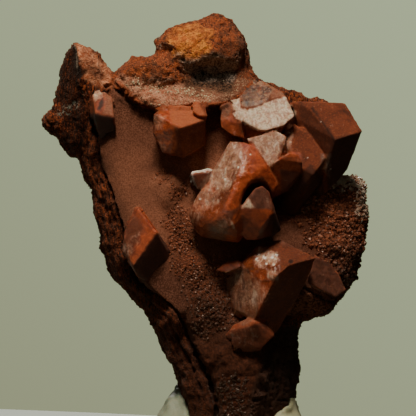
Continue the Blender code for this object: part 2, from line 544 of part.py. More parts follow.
def crystal_group(name, members, clearance, nodes, helpers):
    """Crystals grown together, joined in one solid and cut where they meet the stone."""
    group = hull(name, members[0], nodes)
    if members[0] is GREAT_CRYSTAL:
        boolean(group, ellipsoid("arch", *ARCH, helpers), "DIFFERENCE")
    for number, corners in enumerate(members[1:]):
        other = hull(f"{name}_{number}", corners, helpers)
        boolean(group, other, "UNION")
        bpy.data.objects.remove(other)
    boolean(group, clearance, "DIFFERENCE")
    return keep_largest(group)


def keep_largest(obj):
    """Drops crumbs that a cut leaves behind the main body."""
    shape = bmesh.new()
    shape.from_mesh(obj.data)
    unseen = set(shape.verts)
    islands = []
    while unseen:
        island, edge_of = set(), [unseen.pop()]
        while edge_of:
            vert = edge_of.pop()
            island.add(vert)
            for edge in vert.link_edges:
                other = edge.other_vert(vert)
                if other in unseen:
                    unseen.discard(other)
                    edge_of.append(other)
        islands.append(island)
    islands.sort(key=len)
    for island in islands[:-1]:
        bmesh.ops.delete(shape, geom=list(island), context="VERTS")
    shape.to_mesh(obj.data)
    shape.free()
    return obj


def cut_flat(shape, height):
    """Takes off everything below a height and closes the shape there with a flat face."""
    everything = shape.verts[:] + shape.edges[:] + shape.faces[:]
    plane = {"plane_co": (0, 0, height * MM), "plane_no": (0, 0, -1)}
    cut = bmesh.ops.bisect_plane(shape, geom=everything, clear_outer=True, **plane)
    rim = [edge for edge in cut["geom_cut"] if isinstance(edge, bmesh.types.BMEdge)]
    bmesh.ops.edgeloop_fill(shape, edges=rim)
    bmesh.ops.triangulate(shape, faces=[face for face in shape.faces if len(face.verts) > 4])


def putty(clearance, nodes):
    """A thumbed wad, flat underneath, pushed up high behind the stone and low in front."""
    shape = bmesh.new()
    bmesh.ops.create_uvsphere(shape, u_segments=30, v_segments=18, radius=1.0)
    for vert in shape.verts:
        x, y, z = vert.co
        thumbed = 1 + 0.08 * noise.noise(vert.co * 1.6) + 0.05 * noise.noise(vert.co * 3.9)
        pushed_back = float(eased((y + 0.66) / 1.15))
        crown = PUTTY_FRONT + (PUTTY_HEIGHT - PUTTY_FRONT - 2.2 * x) * pushed_back
        squared = max(0.1, math.hypot(x, y)) ** -PUTTY_SQUARENESS
        side = (PUTTY_HALF_WIDTH - 0.7 * x) * x * squared * thumbed
        depth = PUTTY_HALF_DEPTH * y * squared * thumbed
        vert.co = Vector((side, depth, z * crown * thumbed + PUTTY_BELLY)) * MM
    cut_flat(shape, 0.0)
    lump = solid_from_bmesh("mounting_putty", shape, nodes)
    boolean(lump, clearance, "DIFFERENCE", crossed=True)
    return keep_largest(lump)


def main():
    clear_scene()
    nodes = collection("calcite_on_matrix")
    helpers = collection("cutters", hidden=True)
    stone = matrix_stone(nodes, helpers)
    stone.data.materials.append(material("ironstone", (0.13, 0.052, 0.034), 0.85))
    clearance = swollen(stone, "clearance", helpers, SEAT_GAP)
    calcite = material("hematite_calcite", (0.36, 0.11, 0.05), 0.35)
    for name, members in CRYSTALS.items():
        crystal_group(name, members, clearance, nodes, helpers).data.materials.append(calcite)
    lump = putty(swollen(stone, "foot_clearance", helpers, PUTTY_GAP), nodes)
    lump.data.materials.append(material("putty", (0.45, 0.45, 0.36), 0.8))


main()
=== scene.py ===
"""Calcite crystals on a rusty ironstone matrix, standing in mounting putty: how it looks.

Row frame in metres: +Z up, +X right, the crystal side faces -Y, and the origin is the middle
of the putty's flat underside. Places are written in millimetres, as (x, z) where they are
seen from the front and as (x, y, z) elsewhere, and MM turns them into metres.
"""

import math

import bmesh
import bpy
import numpy as np
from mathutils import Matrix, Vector, noise
from mathutils.bvhtree import BVHTree
from mathutils.kdtree import KDTree


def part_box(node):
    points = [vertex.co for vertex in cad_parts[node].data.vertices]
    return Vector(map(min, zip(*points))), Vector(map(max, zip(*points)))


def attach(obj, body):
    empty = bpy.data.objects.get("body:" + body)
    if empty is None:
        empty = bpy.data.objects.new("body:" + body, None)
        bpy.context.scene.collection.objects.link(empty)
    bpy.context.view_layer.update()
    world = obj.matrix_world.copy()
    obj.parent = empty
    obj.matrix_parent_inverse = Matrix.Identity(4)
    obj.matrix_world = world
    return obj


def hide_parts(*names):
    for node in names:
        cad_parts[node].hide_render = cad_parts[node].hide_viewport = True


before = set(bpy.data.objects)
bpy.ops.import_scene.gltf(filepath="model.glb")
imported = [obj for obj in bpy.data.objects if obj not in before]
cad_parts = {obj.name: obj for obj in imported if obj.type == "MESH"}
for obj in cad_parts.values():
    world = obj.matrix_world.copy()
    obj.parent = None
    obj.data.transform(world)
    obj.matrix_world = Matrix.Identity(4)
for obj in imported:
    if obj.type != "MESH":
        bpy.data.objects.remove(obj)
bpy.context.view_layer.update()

# ---- Studio ------------------------------------------------------------------------------
# The edge of a round pale stand, with a plain grey-green backdrop far behind it. One lamp
# hangs high in front, so that the faces turned down or to the right stay nearly black, and
# a weak one behind lights the back.

MM = 0.001
VIEW_DISTANCE = 1500.0
VIEW_WIDTH = 83.2
VIEW_CENTRE = (-5.4, 47.6)
FILM_WIDTH = 36.0
STAND_RADIUS = 438.0
STAND_CENTRE = (-400.0, 6.0)
STAND_THICKNESS = 12.0
BACKDROP_RADIUS = 5000.0
LAMPS = {
    "overhead_lamp": ((-60.0, -330.0, 640.0), 170.0, 4.6, (1.0, 0.96, 0.90)),
    "front_fill": ((-380.0, -800.0, 500.0), 400.0, 0.15, (1.0, 0.98, 0.95)),
    "back_fill": ((-100.0, 900.0, 460.0), 260.0, 2.4, (1.0, 0.98, 0.95)),
}


def tint(red, green, blue):
    """A colour given as it is seen, 0 to 255, in the linear values that a shader takes."""
    shares = [value / 255.0 for value in (red, green, blue)]
    linear = [s / 12.92 if s <= 0.04045 else ((s + 0.055) / 1.055) ** 2.4 for s in shares]
    return (*linear, 1.0)


class Wire:
    """A node's socket that takes part in sums with numbers and with other wires."""

    def __init__(self, graph, socket):
        self.graph = graph
        self.socket = socket

    def sum(self, operation, first, second):
        return self.graph.node("ShaderNodeMath", {0: first, 1: second}, operation=operation)

    def __add__(self, other):
        return self.sum("ADD", self, other)

    def __sub__(self, other):
        return self.sum("SUBTRACT", self, other)

    def __rsub__(self, other):
        return self.sum("SUBTRACT", other, self)

    def __mul__(self, other):
        return self.sum("MULTIPLY", self, other)

    def other(self, key):
        """Another output of the same node."""
        return Wire(self.graph, self.graph.socket(self.socket.node.outputs, key))

    __radd__ = __add__
    __rmul__ = __mul__


class Graph:
    """A tree of nodes: one method adds any node and gives back a wire from it."""

    def __init__(self, tree):
        self.tree = tree

    @staticmethod
    def socket(sockets, key):
        if isinstance(key, int):
            return sockets[key]
        return next(s for s in sockets if s.enabled and key in (s.identifier, s.name))

    def node(self, kind, inputs=None, out=0, **settings):
        made = self.tree.nodes.new(kind)
        for key, value in settings.items():
            setattr(made, key, value)
        for key, value in (inputs or {}).items():
            target = self.socket(made.inputs, key)
            if isinstance(value, Wire):
                self.tree.links.new(value.socket, target)
            else:
                target.default_value = value
        return Wire(self, self.socket(made.outputs, out)) if made.outputs else None


class Finish(Graph):
    """A material being made."""

    def __init__(self, name):
        self.material = bpy.data.materials.new(name)
        self.material.use_nodes = True
        self.material.node_tree.nodes.clear()
        super().__init__(self.material.node_tree)

    def mixed(self, share, first, second):
        """A colour, first where the share is 0 and second where it is 1."""
        first, second = (c if isinstance(c, Wire) else tint(*c) for c in (first, second))
        inputs = {"Factor_Float": share, "A_Color": first, "B_Color": second}
        return self.node("ShaderNodeMix", inputs, "Result_Color", data_type="RGBA")

    def layers(self, colour, *coats):
        """A colour under coats laid over it in turn, each a share and a colour."""
        for share, coat in coats:
            colour = self.mixed(share, colour, coat)
        return colour

    def ramp(self, value, low, high):
        """0 below low, 1 above high and a straight slope between."""
        return self.node("ShaderNodeMapRange", {"Value": value, "From Min": low, "From Max": high})

    def place(self):
        """Position on the piece, in millimetres."""
        metres = self.node("ShaderNodeTexCoord", None, "Object")
        return self.node("ShaderNodeVectorMath", {0: metres, "Scale": 1 / MM}, operation="SCALE")

    def across(self, place):
        """How far to the right; its other output "Z" is how far up."""
        return self.node("ShaderNodeSeparateXYZ", {0: place}, "X")

    def drawn(self, place, scale, turn=0.0):
        """Places drawn out along an axis, turned by so many degrees about the y axis."""
        inputs = {"Vector": place, "Rotation": (0, math.radians(turn), 0), "Scale": scale}
        return self.node("ShaderNodeMapping", inputs)

    def speckle(self, place, scale, detail=2.0, warp=0.0):
        inputs = {"Vector": place, "Scale": scale, "Detail": detail, "Distortion": warp}
        return self.node("ShaderNodeTexNoise", inputs)

    def mask(self, name):
        """A value painted on the piece's points."""
        return self.node("ShaderNodeAttribute", None, "Fac", attribute_name=name)

    def bump(self, strength, distance, height):
        """A bumpy normal; the distance is in millimetres."""
        inputs = {"Strength": strength, "Distance": distance * MM, "Height": height}
        return self.node("ShaderNodeBump", inputs)

    def surface(self, shader):
        self.node("ShaderNodeOutputMaterial", {"Surface": shader})
        return self.material

    def principled(self, inputs):
        return self.node("ShaderNodeBsdfPrincipled", inputs)


def placed(name, data, finish=None):
    """An object with this mesh, lamp or camera, standing untransformed in the scene."""
    made = bpy.data.objects.new(name, data)
    bpy.context.scene.collection.objects.link(made)
    if finish:
        made.data.materials.clear()
        made.data.materials.append(finish)
    return made


def from_bmesh(name, shape, finish=None):
    mesh = bpy.data.meshes.new(name)
    shape.to_mesh(mesh)
    shape.free()
    return placed(name, mesh, finish)


def stand_finish():
    f = Finish("pale_stand")
    colour = f.mixed(f.speckle(f.place(), 0.02), (208, 216, 198), (218, 226, 208))
    return f.surface(f.principled({
        "Base Color": colour, "Roughness": 0.7, "Emission Color": colour,
        "Emission Strength": 0.13, "Specular IOR Level": 0.1,
    }))


def backdrop_finish():
    """Plain paper, a little lighter towards the upper right."""
    f = Finish("grey_green_backdrop")
    aside = f.across(f.node("ShaderNodeTexCoord", None, "Object"))
    share = f.ramp(aside.other("Z") + aside * 0.55, -0.232, 0.327)
    colour = f.mixed(share, (152, 157, 125), (178, 191, 154))
    return f.surface(f.node("ShaderNodeEmission", {"Color": colour, "Strength": 1.0}))


def studio():
    shape = bmesh.new()
    bmesh.ops.create_cone(
        shape, cap_ends=True, segments=128, radius1=STAND_RADIUS * MM,
        radius2=STAND_RADIUS * MM, depth=STAND_THICKNESS * MM,
    )
    middle = Vector((*STAND_CENTRE, -STAND_THICKNESS / 2)) * MM
    bmesh.ops.translate(shape, verts=shape.verts, vec=middle)
    stand = from_bmesh("stand", shape, stand_finish())
    stand.visible_diffuse = False

    shape = bmesh.new()
    bmesh.ops.create_uvsphere(shape, u_segments=48, v_segments=24, radius=BACKDROP_RADIUS * MM)
    bmesh.ops.reverse_faces(shape, faces=shape.faces)
    backdrop = from_bmesh("backdrop", shape, backdrop_finish())
    for ray in ("diffuse", "glossy", "transmission", "shadow"):
        setattr(backdrop, f"visible_{ray}", False)

    world = bpy.data.worlds.new("studio_air")
    world.use_nodes = True
    air = world.node_tree.nodes["Background"]
    air.inputs["Color"].default_value = tint(200, 206, 190)
    air.inputs["Strength"].default_value = 0.05
    bpy.context.scene.world = world

    for name, (spot, size, power, colour) in LAMPS.items():
        light = bpy.data.lights.new(name, "AREA")
        light.size = size * MM
        light.energy = power
        light.color = colour
        lamp = placed(name, light)
        lamp.location = Vector(spot) * MM
        aim = Vector((0.0, 0.0, VIEW_CENTRE[1])) * MM - lamp.location
        lamp.rotation_euler = aim.to_track_quat("-Z", "Y").to_euler()
        lamp.visible_camera = False

    lens = bpy.data.cameras.new("camera")
    lens.sensor_width = FILM_WIDTH
    lens.lens = FILM_WIDTH * VIEW_DISTANCE / VIEW_WIDTH
    lens.clip_end = 20.0
    camera = placed("camera", lens)
    camera.location = Vector((VIEW_CENTRE[0], -VIEW_DISTANCE, VIEW_CENTRE[1])) * MM
    camera.rotation_euler = (math.radians(90), 0, 0)
    bpy.context.scene.camera = camera


studio()

# ---- Ironstone matrix --------------------------------------------------------------------
# One piece of limonite-cemented ironstone, broken off its vein wall. A velvet of hematite
# dust coats the wall of the old cavity, and the broken rim, knob, horn and back are bare.

WELD_REACH = 0.002
STONE_VOXEL = 0.38
STONE_SOFTENING = 6
SEAT_REACH = 2.5  # how near a crystal the stone takes notice of it
WING_START = 10.0  # the x beyond which the druse grows coarser
RIM_Y = -2.0  # the ledge's rim lies in front of this
BURIED_Z = 3.0  # the foot stands in putty up to here
FOOT_TOP = 27.0
STRATA_TOP = 66.0
RUSTY_GLEAM = (1.0, 0.78, 0.60, 1.0)  # the warm cast of light glancing off the rust

SMOOTH_FACE = [
    (-24.4, 71), (-19, 70), (-16.6, 66.6), (-15.6, 61), (-16.4, 54), (-14.8, 48), (-12.4, 43),
    (-10.4, 37), (-9.4, 29), (-11, 24), (-15, 29), (-19.6, 34.4), (-22.6, 41), (-24.4, 47),
    (-26.4, 53), (-27.2, 60), (-26.6, 66),
]
# Kinds of surface by outline: how far along its soft edge the outline lies, how much the
# edge wanders, how many millimetres wide it is, and the outline's corners (x, z).
STONE_OUTLINES = {
    "wall": (0.6, 1, 1.5, [  # everything inside the broken rim
        (-26.6, 66), (-24.4, 71), (-16.4, 67.2), (0.6, 68.4), (14, 66), (20, 52), (24, 50),
        (25, 40), (22, 31), (13, 27), (8, 24), (5, 16), (2, 3), (-3, 3), (-5.4, 14.6),
        (-10.8, 26.4), (-16.2, 30.8), (-19.4, 33.4), (-22.2, 43.2), (-24.8, 51.8), (-26.8, 56.4),
        (-27.4, 61.4),
    ]),
    "smooth": (0.7, 0, 1.6, SMOOTH_FACE),
    "knob": (0.6, 1, 1.2, [
        (-17, 77.6), (-16.8, 82.6), (-12, 85.2), (-4, 88), (0.6, 86.6), (4.4, 79), (4.6, 75.6),
        (-3, 72.4), (-24.6, 72.6), (-23.4, 77.8), (-19, 79),
    ]),
    "ochre": (0.5, 1.6, 3.6, [
        (-12.6, 78.2), (-13.6, 81.6), (-11.6, 83.8), (-8.4, 83.6), (-4.8, 82.4), (-5, 79.6),
        (-6.8, 77.4), (-10.6, 77),
    ]),
    "knob_dark": (0.5, 0.6, 0.8, [
        (-4.8, 78.4), (-2.4, 79.4), (0.6, 81.6), (3.2, 82.4), (4.6, 79), (4, 75.6), (-2, 75),
        (-5.6, 76.4),
    ]),
    # the cavity under the knob, painted pale as painted light in its shade
    "cavity": (0.5, 1, 1.6, [
        (-10.4, 76.8), (-6, 76.2), (0.8, 74.8), (0, 73.2), (-8, 73), (-10, 74.8),
    ]),
    "ledge": (0.5, 0.8, 0.8, [
        (-23.6, 72.9), (-16.4, 67.4), (-1.5, 68.8), (4.4, 73.4), (8.2, 72.6), (3.2, 76.6),
        (0, 73.6), (-9, 72.4), (-17, 72.8), (-23, 74.2),
    ]),
    "ledge_shade": (0.5, 2, 2.6, [
        (-11.6, 74.4), (0.4, 74), (-0.8, 71.6), (-2.8, 70.8), (-6, 70.8), (-9.8, 71.8),
    ]),
    # the horn's lit face: painted light
    "lit_horn": (0.5, 1, 1.2, [
        (-32.2, 82), (-25, 75.4), (-24.6, 72), (-27.4, 71.4), (-30, 73), (-31.4, 78),
    ]),
    # the horn's dark left face: painted shade
    "horn_dark": (0.5, 0.6, 0.8, [
        (-34.6, 79), (-32.8, 80.2), (-31.4, 76.6), (-30.6, 71.4), (-28.8, 66), (-30.6, 60),
        (-34.6, 60.4), (-34.4, 66), (-35.4, 70), (-35.2, 75),
    ]),
    "horn_black": (0.5, 0.6, 0.8, [
        (-33, 80), (-31.9, 80), (-31.4, 76.4), (-29.6, 74.6), (-31, 73.2), (-32.8, 74.6),
    ]),
    "horn_brown": (0.5, 0.6, 0.8, [
        (-29.2, 75.8), (-27.4, 76.4), (-25.6, 73.8), (-27, 72.8), (-28.8, 74),
    ]),
    "foot_shade": (0.5, 0, 1, [
        (6.8, 21), (4.8, 15), (3.2, 11), (1.8, 6), (1.2, 0), (14, 0), (14, 24), (8, 24),
    ]),
}
# Open lines along the stone, as corners (x, z).
EDGE_CRACK = [
    (-28.6, 65.6), (-27.6, 61.2), (-27, 56.2), (-25, 51.6), (-23.6, 46.8), (-22.4, 43),
    (-21.6, 38.4), (-19.6, 33), (-16.4, 30.4), (-12.9, 28.2), (-10.9, 26), (-9, 21), (-7.2, 17.2),
    (-5.2, 13.7), (-3.9, 8.8), (-3.4, 3),
]
SECOND_CRACK = [(-17.8, 29.4), (-14.4, 26.2), (-12, 22.6), (-10.2, 18.8), (-8.2, 14.8), (-6.8, 11)]
WING_CRACK = [(11.2, 33.4), (14.4, 31.2), (18.2, 29), (20.6, 28.4)]
LEDGE_RIM = [
    (-23.3, 72.7), (-21.3, 70.8), (-18.8, 68.3), (-16.4, 67.2), (-13, 67.6), (-6.6, 68.1),
    (-1.5, 68.6), (0.6, 69.6), (2.2, 71.2), (3.6, 72.9),
]
PALE_EDGE = [(-32.1, 80), (-31.9, 78), (-31.8, 75.6)]
# Where white grit lies along the back of the ledge, and clear grains edge the wing.
GRIT_LINE = [(-20.4, 72.4), (-16, 71.4), (-12.4, 71.2), (-8.6, 70.8), (-5.4, 69.6)]
WING_FRINGE = [(20.8, 52), (22.4, 52.8), (24.6, 52.6), (25.4, 49.4), (25.4, 46.8)]
# Soft patches on the front: (x, z, radius, how strong).
FRONT_DRUSE = [
    (-14, 54.2, 1.8, 0.5), (-11.8, 50.6, 2.2, 0.6), (-11, 45, 2.6, 0.9), (-10.2, 40.8, 2.8, 1),
    (-9.4, 36.4, 3, 1), (-5.6, 33.4, 4, 0.9), (-4.6, 29, 4.2, 1), (-1, 26, 2.4, 0.5),
    (-6.2, 24.6, 2.6, 0.5), (-0.6, 11.6, 3, 0.7), (0.4, 6.4, 3, 0.7), (-13, 63.6, 1.4, 0.5),
    (-7, 46, 1.6, 0.3), (-1.8, 36.4, 1.6, 0.4), (18.6, 46.6, 4.2, 1), (23, 45, 4.2, 1),
    (20.6, 40.4, 4.4, 1), (23.4, 38.6, 3, 0.9), (22, 34.6, 2.2, 0.7), (16.2, 41.6, 2.6, 0.5),
    (12.6, 46.4, 2.2, 0.5), (22.8, 50.6, 2.4, 0.9),
]
# Painted light: patches below the wing's crack painted lighter, where the crystals' shadow falls.
PAINTED_LIGHT_HACKLE = [(16, 28.4, 3, 0.9), (12, 29, 2.4, 0.7)]
LICHEN = [
    (-33.6, 67.2, 0.9, 0.8), (-31.9, 68.2, 0.7, 0.8), (-35, 66.6, 0.7, 0.6),
    (-30.2, 70.6, 0.5, 0.5), (-15.4, 82.2, 0.6, 1),
]


def eased(value):
    value = np.clip(value, 0.0, 1.0)
    return value * value * (3 - 2 * value)


def step_distances(path, x, z):
    """For each leg of a path, how far each point is from it."""
    for (ax, az), (bx, bz) in zip(path, path[1:]):
        dx, dz = bx - ax, bz - az
        along = np.clip(((x - ax) * dx + (z - az) * dz) / (dx * dx + dz * dz), 0, 1)
        yield (ax, az), (bx, bz), np.hypot(x - ax - along * dx, z - az - along * dz)


def path_distance(path, x, z):
    """Distance of each point from an open path."""
    return np.minimum.reduce([distance for _, _, distance in step_distances(path, x, z)])


def outline_distance(outline, x, z):
    """Distance of each point from a closed outline, positive inside it."""
    nearest = np.full(len(x), 1e9)
    inside = np.zeros(len(x), bool)
    for (ax, az), (bx, bz), distance in step_distances(outline + outline[:1], x, z):
        nearest = np.minimum(nearest, distance)
        if az != bz:
            inside ^= ((az > z) != (bz > z)) & (x < (z - az) * (bx - ax) / (bz - az) + ax)
    return np.where(inside, nearest, -nearest)


def patches(spots, x, z):
    """How strongly each point lies in any of the soft round patches."""
    total = np.zeros(len(x))
    for spot_x, spot_z, radius, strength in spots:
        near = eased(1.5 - np.hypot(x - spot_x, z - spot_z) / radius)
        total = np.maximum(total, near * strength)
    return total


def point_rows(mesh, kind):
    """What the mesh keeps for each of its points, one row each."""
    flat = np.empty(len(mesh.vertices) * 3)
    mesh.vertices.foreach_get(kind, flat)
    return flat.reshape(-1, 3)


def coordinates(mesh):
    """The mesh's points in millimetres."""
    return point_rows(mesh, "co") / MM


def move_to(mesh, points):
    mesh.vertices.foreach_set("co", (points * MM).ravel())
    mesh.update()


def paint(mesh, name, values):
    """Stores one value a point, for the material to read."""
    layer = mesh.attributes.get(name) or mesh.attributes.new(name, "FLOAT", "POINT")
    layer.data.foreach_set("value", np.asarray(values, float))


def rolling(points, scale, shift=0.0):
    """Soft noise from about -1 to 1, its swells roughly 1 / scale millimetres across.

    The shift picks another stretch of it, so that no two uses keep step.
    """
    return np.array([noise.noise(Vector(p)) for p in points * scale + shift])


def cells(points, scale, shift=0.0):
    """Broken facets: 0 along the creases between cells and rising towards their middles."""
    spans = [noise.voronoi(Vector(p))[0] for p in points * scale + shift]
    return np.array([span[1] - span[0] for span in spans])


def welded(node_name):
    """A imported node's mesh as one skin."""
    shape = bmesh.new()
    shape.from_mesh(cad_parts[node_name].data)
    bmesh.ops.remove_doubles(shape, verts=shape.verts, dist=WELD_REACH * MM)
    return shape


def baked(obj):
    """Replaces an object's mesh with what its modifiers make of it."""
    bpy.context.view_layer.update()
    graph = bpy.context.evaluated_depsgraph_get()
    mesh = bpy.data.meshes.new_from_object(obj.evaluated_get(graph))
    obj.modifiers.clear()
    obj.data = mesh
    return obj


def reskinned(obj, voxel, softening=0):
    """An even skin of small faces, its steps smoothed away."""
    skin = obj.modifiers.new("skin", "REMESH")
    skin.mode = "VOXEL"
    skin.voxel_size = voxel * MM
    skin.use_smooth_shade = True
    if softening:
        soften = obj.modifiers.new("soften", "SMOOTH")
        soften.factor = 0.5
        soften.iterations = softening
    return baked(obj)


def flattened(obj, amounts, steps):
    """Smooths each point over and over by its own amount."""
    group = obj.vertex_groups.new(name="flattened")
    for i in np.flatnonzero(amounts > 0.02):
        group.add([int(i)], float(amounts[i]), "REPLACE")
    ease = obj.modifiers.new("ease", "SMOOTH")
    ease.vertex_group = "flattened"
    ease.factor = 0.6
    ease.iterations = steps
    baked(obj)
    obj.vertex_groups.clear()


def tree_of(*meshes):
    """All the faces of these meshes, ready for nearest-point questions in metres."""
    shape = bmesh.new()
    for mesh in meshes:
        shape.from_mesh(mesh)
    found = BVHTree.FromBMesh(shape)
    shape.free()
    return found


def gaps_to(tree, points, reach):
    """Distance in millimetres from each point to the nearest face, at most the reach."""
    gaps = np.full(len(points), reach)
    for i, point in enumerate(points):
        hit = tree.find_nearest(Vector(point) * MM, reach * MM)
        if hit[3] is not None:
            gaps[i] = hit[3] / MM
    return gaps


CRYSTAL_NODES = [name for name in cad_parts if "crystal" in name]
# The ironstone splits into wavy leaves: these rows are how fast they vary along x, y and z.
SPLITTING = np.array([[0.36, 0.12, 0.75], [0.12, 0.6, 0.0], [-0.30, 0.0, 1.6]])
# Layers torn open beside the ledge, over the top of the smooth face.
TORN_LAYERS = [(-25.4, 72.4), (-22.4, 69.8), (-19, 67.6), (-15.8, 66.4)]


def evened(points, outward):
    """The points with the velvet's swells taken out: one cubic sheet laid through it."""
    x, y, z = points.T
    inner = eased(outline_distance(SMOOTH_FACE, x, z) / 2.2 + 0.3) * eased(-2.0 * outward[:, 1])
    u, v = (x + 18.0) / 10.0, (z - 48.0) / 20.0
    terms = np.stack([u**i * v**j for i in range(4) for j in range(4 - i)], axis=1)
    core = inner > 0.5
    fitted = terms @ np.linalg.lstsq(terms[core], y[core], rcond=None)[0]
    even = points.copy()
    even[:, 1] += inner * np.clip(fitted - y, -1.2, 1.2)
    return even


def stone_masks(points, outward):
    """Where each kind of surface lies on the stone."""
    x, y, z = points.T
    ahead = eased(0.45 - 1.6 * outward[:, 1])
    wander = 0.8 * rolling(points, 0.35, 41.0)
    masks = {}
    for name, (start, stray, softness, outline) in STONE_OUTLINES.items():
        inside = eased(start + (outline_distance(outline, x, z) + stray * wander) / softness)
        # The knob runs on round the back, and the ledge lies flat.
        masks[name] = inside if name in ("knob", "ledge") else inside * ahead
    masks["ledge"] *= eased((-1.0 - y) / 2.0)
    masks["druse"] = patches(FRONT_DRUSE, x + wander, z + wander) * ahead
    masks["painted_light_hackle"] = patches(PAINTED_LIGHT_HACKLE, x + wander, z + wander) * ahead
    masks["pale_edge"] = eased(1.2 - path_distance(PALE_EDGE, x + 0.3 * wander, z) / 0.2) * ahead
    # The knob's underside, painted pale later as painted light in its shade.
    masks["underside"] = masks["knob"] * eased(-1.8 * outward[:, 2])
    masks["foot"] = eased((FOOT_TOP + 2 * wander - z) / 9.0) * ahead
    past_crack = np.interp(z, *zip(*[(b, a) for a, b in EDGE_CRACK[::-1]])) - x
    masks["strata"] = eased(past_crack / 0.5) * eased((STRATA_TOP - z) / 6.0) * ahead
    return masks


def stone_relief(points, outward, masks, near_crystal):
    """How far each point moves along its normal, in millimetres."""
    x, y, z = points.T
    strata, knob = masks["strata"], masks["knob"]
    bare = (1 - masks["wall"]) * (1 - masks["ledge"])
    upright = points * np.array([1.0, 1.0, 0.6])
    broken = 0.9 * cells(upright, 0.42, 3.0) + 0.55 * cells(upright, 1.05, 11.0) - 0.42
    hackle = 0.35 * rolling(points, 1.1, 5.0) + 0.22 * rolling(points, 2.3, 9.0)
    bent = points + 1.6 * rolling(points, 0.25, 57.0)[:, None]
    leaves = 1 - 3.0 * np.abs(rolling(bent @ SPLITTING, 1.0, 13.0))
    pores = rolling(points, 0.85, 31.0) + 0.5 * rolling(points, 1.9, 37.0)
    calm = (1 - 0.6 * knob) * (1 - 0.8 * strata) * (1 - 0.4 * masks["lit_horn"])
    calm *= 1 - 0.6 * masks["horn_dark"]
    move = bare * calm * (0.44 * broken + 0.55 * hackle)
    move += strata * (0.5 * hackle + 0.4 * rolling(points, 0.55, 91.0))
    leafy = 0.34 - 0.2 * masks["lit_horn"] - 0.2 * masks["horn_dark"]
    move += bare * (1 - knob) * (1 - strata) * leafy * leaves
    move -= 0.5 * masks["horn_black"]
    move -= knob * (1.2 * np.clip(pores - 0.25, 0.0, 0.7) - 0.5 * hackle)
    wall = masks["wall"] * (1 - masks["smooth"])
    move += wall * ((0.16 + 0.5 * masks["foot"]) * hackle + 0.10 * broken)
    move += masks["smooth"] * 0.05 * rolling(points, 0.35, 51.0)
    crust = masks["druse"] * np.clip(1.2 * cells(points, 1.15, 61.0) + 0.5 * hackle, -0.2, 1.2)
    move += 0.5 * crust
    move += masks["ledge"] * (0.6 * hackle + 0.3 * rolling(points, 0.6, 45.0) - 0.1)
    torn = eased(1.2 - path_distance(TORN_LAYERS, x, z) / 1.6) * (outward[:, 1] < 0.3)
    move += torn * (0.5 * leaves + 0.3 * hackle)
    front = outward[:, 1] < -0.2
    beside = path_distance(EDGE_CRACK, x, z)
    banding = np.sin(beside * 5.2 + 2.0 * rolling(points, 0.5, 25.0))
    move += strata * (0.14 * banding - 0.1 + 0.12 * broken)
    for path, width, depth in (
        (EDGE_CRACK, 0.45, 1.1), (SECOND_CRACK, 0.3, 0.6), (WING_CRACK, 0.5, 0.9),
    ):
        wander = path_distance(path, x, z) + 0.3 * rolling(points, 0.9, 71.0)
        move -= front * depth * eased(1 - np.abs(wander) / width)
    rim = path_distance(LEDGE_RIM, x, z)
    move += (y < RIM_Y) * 0.4 * eased(1 - rim / 0.6) * (0.7 + 0.6 * rolling(points, 1.4, 81.0))
    move *= eased(0.25 + (z - BURIED_Z) / 4.0)
    seat = eased(1.4 - near_crystal / 0.8)
    return move * (1 - 0.7 * seat) + 0.12 * seat


